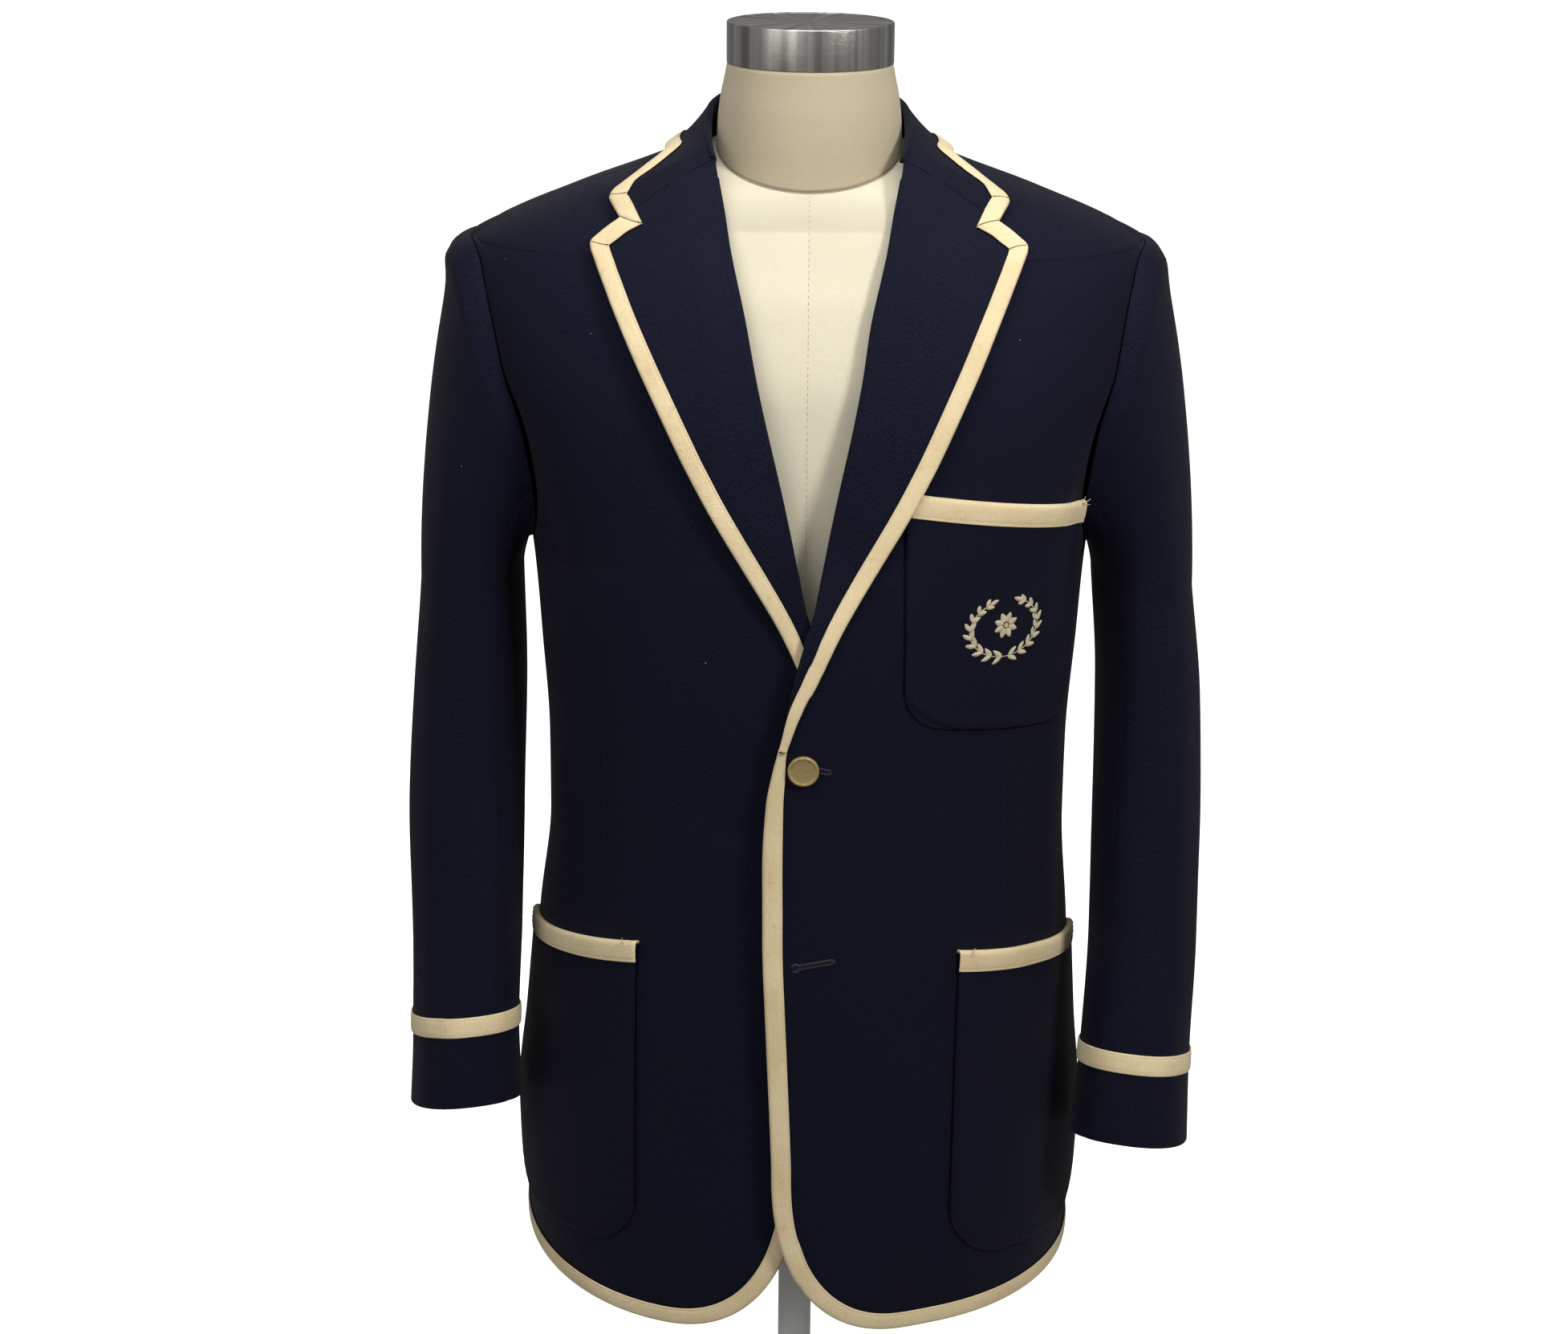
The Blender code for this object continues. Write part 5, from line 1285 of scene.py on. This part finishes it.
def aged_tape():
    """Cream twill tape, unevenly yellowed and browner where hands have rubbed it."""
    made, shader = woven_material("cream_tape", (0.58, 0.47, 0.27), (0.84, 0.71, 0.46), 0.80,
                                  0.00052, 0.6, 0.00016, 0.15)
    tree = made.node_tree
    place = coordinates(tree, "Object")
    woven = shader.inputs["Base Color"].links[0].from_socket
    patches = noise_node(tree, place, 26.0, 4.0)
    aged = colour_mix(tree, patches, (1.10, 1.12, 1.16), (0.82, 0.74, 0.62))
    toned = colour_mix(tree, 1.0, woven, aged, "MULTIPLY")
    rubbed = math_node(tree, "MULTIPLY_ADD", noise_node(tree, place, 150.0, 2.0), 5.0, -3.1, clamp=True)
    rubbed = math_node(tree, "MULTIPLY", rubbed, 0.45)
    link(tree, colour_mix(tree, rubbed, toned, (0.42, 0.30, 0.16)), shader.inputs["Base Color"])
    return made


cream_tape = aged_tape()
tape_thread, _ = new_material("tape_thread", (0.60, 0.50, 0.34), 0.7)
# Near-black brown for the painted shade in the crease where each mitred fold of tape meets.
mitre_shade, _ = new_material("mitre_shade", (0.10, 0.075, 0.05), 0.9)


def edge_strip(path):
    """Inner points of a tape, square to its (across, height) path."""
    step = np.gradient(path, axis=0)
    side_step = unit(step)[:, ::-1] * (-1, 1)
    return path + side_step * EDGE_TAPE.read("width", path[:, 1])[:, None]


def spread(points, like):
    """Points of a line placed along it as another line's points are."""
    run, other = lengths_along(points, 0), lengths_along(like, 0)
    place = other / other[-1] * run[-1]
    return np.stack([np.interp(place, run, points[:, k]) for k in range(points.shape[1])], axis=1)


def mitred(edge, inner, corners, reach=0.045):
    """Inner points again, fanned so that they meet in the given corner points and nowhere cross."""
    made = np.array(inner)
    marks = sorted({0, *corners, len(edge) - 1})
    for start, end in zip(marks, marks[1:]):
        kept = [corners.get(start, inner[start])]
        for k in range(start + 1, end):
            after = (inner[k] - kept[0]) @ (edge[start + 1] - edge[start])
            before = (corners.get(end, inner[end]) - inner[k]) @ (edge[end] - edge[end - 1])
            close_to_start = np.linalg.norm(edge[k] - edge[start]) < reach and start in corners
            close_to_end = np.linalg.norm(edge[k] - edge[end]) < reach and end in corners
            if (after > 0 or not close_to_start) and (before > 0 or not close_to_end):
                kept.append(inner[k])
        kept.append(corners.get(end, inner[end]))
        made[start:end + 1] = spread(np.array(kept), edge[start:end + 1])
    return made


def blunted(edge, corners, reach=0.0045):
    """The edge with its corners a little rounded."""
    made = np.array(edge)
    for corner in corners:
        away = np.linalg.norm(edge - edge[corner], axis=1)
        near = np.clip(1 - away / reach, 0, 1)[:, None] ** 2
        inside = (edge[max(corner - 3, 0)] + edge[min(corner + 3, len(edge) - 1)]) / 2
        made = made + (inside - edge[corner]) * near * 0.45
    return made


def binding(name, node, edge, inner, out):
    """Tape wrapped over an edge, from points of the edge, of its inner edge and directions off the cloth."""
    grid = np.array([edge + (inner - edge) * share + out * lift for share, lift in FOLDED_TAPE])
    middle = len(FOLDED_TAPE) // 2
    facing = np.cross(grid[middle, 1:] - grid[middle, :-1], grid[middle + 1, 1:] - grid[middle, 1:])
    if (facing * out[1:]).sum() < 0:
        grid = grid[:, ::-1]
    cloth_piece(name, grid, cream_tape, TAPE, "cream_tape", node)


def path_on_front(side, path, lift):
    """Points, and directions off the cloth, along an (across, height) path on a front."""
    points = front_point(side, path[:, 0], path[:, 1], lift(path[:, 0], path[:, 1]))
    off = front_point(side, path[:, 0], path[:, 1], lift(path[:, 0], path[:, 1]) + 0.004)
    return points, unit(off - points)


def flat_lift(across, height):
    return np.zeros_like(across)


tape_stitch_lines, mitre_shade_lines = [], []


def sewn_binding(name, node, edge, inner, out):
    """Wrapped tape with its row of stitches."""
    binding(name, node, edge, inner, out)
    tape_stitch_lines.append(edge + (inner - edge) * TAPE_STITCH + out * TAPE_STITCH_LIFT)


def tape_on_front(name, node, side, edge, inner, lift):
    """Tape along the edge of a front or lapel, from paths of (across, height)."""
    edge_points, out = path_on_front(side, edge, lift)
    inner_points, _ = path_on_front(side, inner, lift)
    sewn_binding(name + side, node + side, edge_points, inner_points, out)
    return edge_points, inner_points, out


def mitre_shade_line(edge, inner, out):
    """Painted shade where two folds of tape meet: a slightly bowed dark line from the corner to the inner
    corner.
    """
    shares = np.linspace(0.06, 1.0, 9)[:, None]
    bow = unit(np.cross(inner - edge, out)) * MITRE_BOW
    mitre_shade_lines.append(edge + (inner - edge) * shares + out * MITRE_LINE + bow * np.sin(math.pi * shares))


NOTCH_INNER = (0.1077, 0.9885)
for side in SIGN:
    heights = np.linspace(TAPE_JOIN, CORNER_TOP, 110)
    path = np.stack([front_edge(side, heights), heights], axis=1)
    around = np.concatenate([np.linspace(0, CORNER_SHARE, 90)[1:], np.linspace(CORNER_SHARE, 1, 90)[1:]])
    path = np.vstack([path, np.stack(hem_point(side, around), axis=1)])
    tape_on_front("front_edge_tape_", "tape_front_", side, path, edge_strip(path), flat_lift)

    heights = np.linspace(TAPE_JOIN - TAPE_OVERLAP, LAPEL_TIP, 260)
    path = np.stack([LAPEL_EDGE.read("across", heights), heights], axis=1)
    tip = len(path) - 1
    top = np.stack(lapel_top(np.linspace(1.0, NOTCH_SHARE, 24)), axis=1)
    inner_edge, inner_top = edge_strip(path), mix(top, edge_strip(top), LAPEL_TOP_TAPE)
    along, back = path[-1] - path[-2], top[1] - top[0]
    share, _ = np.linalg.solve(np.stack([along, -back], axis=1), inner_top[0] - inner_edge[-1])
    path = np.vstack([path, top[1:]])
    inner_corners = {tip: inner_edge[-1] + along * share, len(path) - 1: np.array(NOTCH_INNER)}
    inner = mitred(path, np.vstack([inner_edge, inner_top[1:]]), inner_corners)
    edge_points, inner_points, out = tape_on_front("lapel_edge_tape_", "tape_lapel_", side,
                                                   blunted(path, [tip]), inner, lapel_lift)
    for corner in inner_corners:
        mitre_shade_line(edge_points[corner], inner_points[corner], out[corner])

shares = np.linspace(0, 1, 160)
hem_level = np.array([mix(HEM_SIDE["left" if share < 0.5 else "right"], HEM_BACK,
                          ease(1 - abs(2 * share - 1))) for share in shares])
turns = mix(SIDE_SEAM + 0.0016, 2 * math.pi - SIDE_SEAM - 0.0016, shares)
turns = np.where(turns > math.pi, turns - 2 * math.pi, turns)
edge_points = lifted(turns, hem_level, 0.0)
inner_points = lifted(turns, hem_level + EDGE_TAPE.read("width", HEM_BACK), 0.0)
out = unit(lifted(turns, hem_level, 0.004) - edge_points)
sewn_binding("back_hem_tape", "tape_back", edge_points, inner_points, out)

# Tape round the collar, laid on it from notch to notch, with a mitre at each tip.
edges = collar_ribs[:, 0]
tips = {"left": 8, "right": len(edges) - 9}
down = unit(collar_ribs[:, 1] - edges)
steps = unit(np.gradient(edges, axis=0))
reach = COLLAR_TAPE_WIDTH / np.maximum(np.linalg.norm(np.cross(down, steps), axis=1), 0.62)
inner_points = np.array([[np.interp(length, lengths_along(rib, 0), rib[:, k]) for k in range(3)]
                         for rib, length in zip(collar_ribs, reach)])
rows, columns = collar_ribs.shape[:2]
starts = [r * columns + c for r in range(rows - 1) for c in range(columns - 1)]
skin = BVHTree.FromPolygons([Vector(point) for point in collar_ribs.reshape(-1, 3)],
                            [(k, k + 1, k + columns + 1, k + columns) for k in starts])


def on_collar(point):
    place, normal, _, _ = skin.find_nearest(Vector(point))
    return np.array(place), np.array(normal) if normal.dot(place) > 0 else -np.array(normal)


COLLAR_CORNER, CORNER_LIFT = (0.1212, 1.0046), 0.0070
ends = {"left": 0, "right": len(edges) - 1}
corners = {}
for side, end in ends.items():
    corners[end] = front_point(side, *NOTCH_INNER, lapel_lift(*NOTCH_INNER))
    corners[tips[side]] = on_collar(front_point(side, *COLLAR_CORNER, CORNER_LIFT))[0]
inner_points = mitred(edges, inner_points, corners)
edges = blunted(edges, tips.values(), 0.006)
out = np.array([on_collar(point)[1] for point in mix(edges, inner_points, 0.5)])
for side, end in ends.items():
    out[end] = path_on_front(side, np.array([NOTCH_INNER]), lapel_lift)[1][0]
sewn_binding("collar_edge_tape", "tape_collar", edges, inner_points, out)
for tip in tips.values():
    mitre_shade_line(edges[tip], inner_points[tip], out[tip])
grown("edge_tape_stitches", tape_stitch_lines, stitches, "cream_tape",
      Spacing=0.0030, Length=0.0023, Thickness=0.00042, Seed=5, Thread=tape_thread)
# Dark threads of painted shade along each mitre's crease.
grown("edge_tape_mitre_shade", mitre_shade_lines, threads, "cream_tape", Thickness=0.0005, Thread=mitre_shade)


# ==== Pocket tapes ====
# The same tape folded over each pocket's mouth. Its ends are turned in, and each is held by a short
# upright row of stitches a little way in, with a tuft of cut thread left at the corner.
END_STITCH_IN, TUFT_STRANDS = 0.0045, 7
tuft_lines, end_stitch_lines = [], []
TUFTS = {"chest_pocket": (0, 1), "hip_pocket_left": (0,), "hip_pocket_right": (0,)}
noise = np.random.default_rng(11)

for name, pocket in POCKETS.items():
    side, width = pocket["side"], pocket["width"]
    full = pocket["top"] - pocket["bottom"]
    end = 0.0007 / width
    close = [k * 0.0006 / width for k in range(5)]
    parts = np.unique(np.concatenate([np.linspace(-end, 1 + end, 70), [-end + step for step in close],
                                      [1 + end - step for step in close]]))
    edge = np.stack(pocket_level(pocket, parts, 1.0), axis=1)
    inner = np.stack(pocket_level(pocket, parts, 1 - POCKET_TAPE_WIDTH / full), axis=1)

    def pocket_top(across, height):
        from_end = np.minimum(parts + end, 1 + end - parts) * width
        return POCKET_LIFT + 0.0002 - 0.0009 * np.exp(-from_end / 0.0011)

    edge_points, out = path_on_front(side, edge, pocket_top)
    inner_points, _ = path_on_front(side, inner, pocket_top)
    binding(name + "_mouth_tape", "tape_" + name, edge_points, inner_points, out)
    row = mix(edge_points, inner_points, TAPE_STITCH) + out * TAPE_STITCH_LIFT
    end_stitch_lines.append(row[3:-3])
    for at in (END_STITCH_IN / width, 1 - END_STITCH_IN / width):
        k = int(np.argmin(np.abs(parts - at)))
        shares = np.linspace(0.10, 0.90, 12)[:, None]
        end_stitch_lines.append(mix(edge_points[k], inner_points[k], shares) + out[k] * MITRE_LINE)
    for end_at in TUFTS[name]:
        k = int(np.argmin(np.abs(parts - abs(end_at - 2 * END_STITCH_IN / width))))
        root = edge_points[k] + out[k] * 0.0018
        for _ in range(TUFT_STRANDS):
            way = unit(out[k] * 0.9 + noise.normal(0, 0.6, 3) + np.array([0, 0, 0.5]))
            bend = noise.normal(0, 0.0012, 3)
            length = noise.uniform(0.0022, 0.0050)
            shares = np.linspace(0, 1, 6)[:, None]
            tuft_lines.append(root + way * length * shares + bend * shares ** 2)

grown("pocket_tape_stitches", end_stitch_lines, stitches, "cream_tape",
      Spacing=0.0029, Length=0.0022, Thickness=0.00042, Seed=9, Thread=tape_thread)
grown("pocket_tape_tufts", tuft_lines, threads, "cream_tape", Thickness=0.00035, Thread=tape_thread)


# ==== Cuff tapes ====
# One flat band of the same tape round each sleeve above its hem, sewn down along both edges.
CUFF_BAND_ABOVE_EDGE, CUFF_BAND = 0.052, 0.0008
CUFF_STITCHES, CUFF_STITCH_LIFT = (0.10, 0.90), 0.00125
FLAT_TAPE = (
    (0.00, 0.0003), (0.01, 0.0010), (0.05, 0.0014), (0.10, 0.0012), (0.16, 0.0015), (0.30, 0.0016),
    (0.50, 0.0016), (0.70, 0.0016), (0.84, 0.0015), (0.90, 0.0012), (0.95, 0.0014), (0.99, 0.0010),
    (1.00, 0.0003),
)


def sleeve_skin(side, angle, height, lift):
    """Points on a sleeve's lower part, raised off it."""
    along = sleeve_point(side, angle + 0.01, height) - sleeve_point(side, angle - 0.01, height)
    upward = sleeve_point(side, angle, height + 0.003) - sleeve_point(side, angle, height - 0.003)
    normal = unit(np.cross(along, upward)) * -SIGN[side]
    fade = ease((height - SLEEVE[side].at[0]) / FOLD_FADE)
    raised = sleeve_fold(side, angle, height) * fade + lift
    return sleeve_point(side, angle, height) + normal * raised[:, None]


cuff_stitch_lines = []
for side in SIGN:
    angles = np.linspace(0, 2 * math.pi, 121)[:-1]
    low = SLEEVE[side].at[0] + CUFF_BAND_ABOVE_EDGE
    high = low + POCKET_TAPE_WIDTH
    grid = np.array([sleeve_skin(side, angles, np.full_like(angles, mix(low, high, share)), lift)
                     for share, lift in FLAT_TAPE])
    if side == "left":
        grid = grid[:, ::-1]
    cloth_piece("cuff_band_" + side, grid, cream_tape, CUFF_BAND,
                "cream_tape", "cuff_tape_" + side, ring=True)
    closed = np.append(angles, angles[0])
    for share in CUFF_STITCHES:
        level = np.full_like(closed, mix(low, high, share))
        cuff_stitch_lines.append(sleeve_skin(side, closed, level, CUFF_STITCH_LIFT))
grown("cuff_band_stitches", cuff_stitch_lines, stitches, "cream_tape",
      Spacing=0.0029, Length=0.0022, Thickness=0.00040, Seed=21, Thread=tape_thread)


# ==== Button ====
# A flat brass disc with a raised rim, sewn through the overlap on a short shank. Its face is brushed
# dull.
BUTTON_RADIUS, BUTTON_THICKNESS = 0.0105, 0.0030
BUTTON_PLACE, BUTTON_LIFT = (-0.0034, 0.6440), 0.0015
BUTTON_PROFILE = (               # share of the radius, rise as a share of the thickness
    (0.00, 0.44), (0.30, 0.46), (0.60, 0.48), (0.78, 0.50), (0.81, 0.53), (0.84, 0.60), (0.87, 0.63),
    (0.92, 0.64), (0.96, 0.60), (0.99, 0.48), (1.00, 0.30), (1.00, -0.30), (0.98, -0.42), (0.93, -0.48),
    (0.80, -0.50), (0.28, -0.52), (0.25, -0.60), (0.25, -1.15), (0.00, -1.15),
)


def aged_brass():
    """Dull gilt brass: faint turning marks, and brown tarnish in patches."""
    made, shader = new_material("matte_brass", (0.48, 0.36, 0.15), 0.42, 0.9)
    tree = made.node_tree
    place = coordinates(tree, "Object")
    blots = noise_node(tree, place, 420.0, 4.0)
    toned = colour_mix(tree, blots, (0.60, 0.47, 0.22), (0.30, 0.21, 0.085))
    link(tree, toned, shader.inputs["Base Color"])
    scratches = noise_node(tree, place, 2600.0, 2.0)
    link(tree, math_node(tree, "MULTIPLY_ADD", blots, 0.35, 0.5), shader.inputs["Roughness"])
    link(tree, bump_node(tree, scratches, 0.00003), shader.inputs["Normal"])
    return made


brass = aged_brass()
middle = front_point("left", *BUTTON_PLACE, BUTTON_LIFT + BUTTON_THICKNESS / 2).reshape(3)
outward = unit(front_point("left", *BUTTON_PLACE, 0.010) - front_point("left", *BUTTON_PLACE)).reshape(3)
sideways = unit(np.cross((0, 0, 1), outward))
upwards = np.cross(outward, sideways)
around = np.linspace(0, 2 * math.pi, 97)[:-1, None]
spokes = sideways * np.cos(around) + upwards * np.sin(around)
rings = np.array([middle + outward * rise * BUTTON_THICKNESS + BUTTON_RADIUS * max(share, 0.004) * spokes
                  for share, rise in BUTTON_PROFILE])[::-1]
button = grid_piece("button_brass", rings, brass, ring=True, caps=True)
fitted(button, "matte_brass", "button")


# ==== Buttonholes ====
# Worked holes in the left front. Each slit is edged all round with close purl stitches in navy silk, and
# the lower one shows its round eyelet near the front edge.
HOLE_HALF_WIDTH, PURL_LENGTH, PURL_STEP = 0.0007, 0.0017, 0.00052
PURL_SHARES, PURL_LIFTS = np.array([0, 0.25, 0.6, 1.0]), np.array([0.0001, 0.0006, 0.0005, -0.0001])
BUTTONHOLES = {                  # front end, back end, radius of the eyelet at the front end
    "upper": ((-0.0085, 0.6472), (0.0129, 0.6410), 0.0016),
    "lower": ((-0.0060, 0.4986), (0.0179, 0.5024), 0.0020),
}
purl_thread, _ = new_material("purl_thread", (0.012, 0.013, 0.026), 0.55)
# The slits and eyelets are near-black threads of painted shade, where the cut opening lies in shadow.
slit_painted_shade, _ = new_material("slit_painted_shade", (0.0015, 0.0015, 0.002), 0.95)
purls, slit_shade_lines = [], []
for front, back, eyelet in BUTTONHOLES.values():
    front, back = np.array(front), np.array(back)
    length = np.linalg.norm(back - front)
    along = (back - front) / length
    beside = np.array([-along[1], along[0]])
    round_front = np.radians(np.arange(40, 321, 12))[:, None]
    round_back = np.radians(np.arange(-75, 76, 25))[:, None]
    start = eyelet * 0.8
    outline = np.concatenate([
        front + eyelet * (beside * np.sin(round_front) - along * np.cos(round_front)),
        front + along * np.arange(start, length, PURL_STEP)[:, None] - beside * HOLE_HALF_WIDTH,
        back + HOLE_HALF_WIDTH * (along * np.cos(round_back) + beside * np.sin(round_back)),
        front + along * np.arange(length, start, -PURL_STEP)[:, None] + beside * HOLE_HALF_WIDTH])
    nearest = np.clip((outline - front) @ along, 0, length)[:, None] * along + front
    away = outline - nearest
    away = away / np.maximum(np.linalg.norm(away, axis=1, keepdims=True), 1e-9)
    for here, way in zip(outline, away):
        spots = here + way * PURL_LENGTH * PURL_SHARES[:, None]
        purls.append(front_point("left", spots[:, 0], spots[:, 1], PURL_LIFTS))
    # Painted shade along each slit and round its eyelet.
    for offset in (-0.5, 0.0, 0.5):
        line = mix(front, back, np.linspace(0, 1, 16)[:, None]) + beside * HOLE_HALF_WIDTH * offset
        slit_shade_lines.append(front_point("left", line[:, 0], line[:, 1], 0.0001))
    for ring in (0.35, 0.8):
        turns = np.linspace(0, 2 * math.pi, 19)
        line = front + eyelet * ring * (along * np.cos(turns)[:, None] + beside * np.sin(turns)[:, None])
        slit_shade_lines.append(front_point("left", line[:, 0], line[:, 1], 0.0001))
grown("buttonhole_purls", purls, threads, "navy_worsted", Thickness=0.00046, Sides=5, Thread=purl_thread)
grown("buttonhole_slit_shade", slit_shade_lines, threads, "navy_worsted", Thickness=0.00055, Sides=5, Thread=slit_painted_shade)


# ==== Chest motif ====
# Plain ornament worked in cream satin stitch above the middle of the chest pocket: two open sprays of
# leaves that cross at their stems, round a small rosette.
MOTIF_MIDDLE = (0.1334, 0.7330)
MOTIF_STITCH, MOTIF_THREAD = 0.00040, 0.00050
SPRAY_RADIUS, SPRAY_LEAVES = (0.0270, 0.0200), 9
motif_thread, _ = new_material("motif_thread", (0.52, 0.45, 0.31), 0.45)
satin = []


def on_motif(x, y, lift):
    """Points on the chest pocket; x runs to the wearer's left from the motif's middle."""
    across, level = MOTIF_MIDDLE[0] + np.asarray(x), MOTIF_MIDDLE[1] + np.asarray(y)
    return front_point("left", across, level, POCKET_LIFT + 0.0005 + lift)


def satin_leaf(root, angle, length, width, lean=0.0):
    """Leaf filled with slanting stitches laid side by side, a little raised in the middle."""
    way = np.array([math.cos(angle), math.sin(angle)])
    beside = np.array([-way[1], way[0]])
    for step in np.arange(MOTIF_STITCH * 0.8, length, MOTIF_STITCH):
        share = step / length
        half = width / 2 * math.sin(math.pi * share ** 0.8) ** 0.8
        if half < 0.0002:
            continue
        spots = np.linspace(-1, 1, 5)[:, None]
        line = root + way * (step + lean * half * spots) + beside * half * spots
        padding = 0.0006 * (1 - spots[:, 0] ** 2) * min(half / 0.001, 1)
        satin.append(on_motif(line[:, 0], line[:, 1], padding + 0.0002))


for mirror in (1, -1):
    turns = np.radians(np.linspace(-112, 62, 60))
    stem = np.stack([mirror * SPRAY_RADIUS[0] * np.cos(turns), SPRAY_RADIUS[1] * np.sin(turns)], axis=1)
    for offset in (-0.00022, 0.00022):
        satin.append(on_motif(stem[:, 0] + offset, stem[:, 1], 0.0003))
    for k in range(SPRAY_LEAVES):
        turn = math.radians(-84 + k * 17.5)
        root = np.array([mirror * SPRAY_RADIUS[0] * math.cos(turn), SPRAY_RADIUS[1] * math.sin(turn)])
        forward = np.array([-mirror * SPRAY_RADIUS[0] * math.sin(turn), SPRAY_RADIUS[1] * math.cos(turn)])
        heading = math.atan2(forward[1], forward[0])
        long = 0.0082 - 0.0003 * k
        satin_leaf(root, heading + mirror * 0.62, long, 0.0032, 0.5)
        satin_leaf(root, heading - mirror * 0.62, long, 0.0032, 0.5)
    end = stem[-1]
    forward = stem[-1] - stem[-2]
    satin_leaf(end, math.atan2(forward[1], forward[0]), 0.0070, 0.0030, 0.4)
for k in range(8):
    petal = math.radians(45 * k + 22.5)
    satin_leaf(np.array([math.cos(petal), math.sin(petal)]) * 0.0022 + (0, 0.002), petal, 0.0072, 0.0042, 0.0)
for radius in np.arange(0.0003, 0.0019, 0.0004):
    turns = np.linspace(0, 2 * math.pi, 25)
    satin.append(on_motif(radius * np.cos(turns), 0.002 + radius * np.sin(turns), 0.0006))
grown("chest_motif_stitches", satin, threads, "cream_tape",
      Thickness=MOTIF_THREAD, Sides=4, Thread=motif_thread)
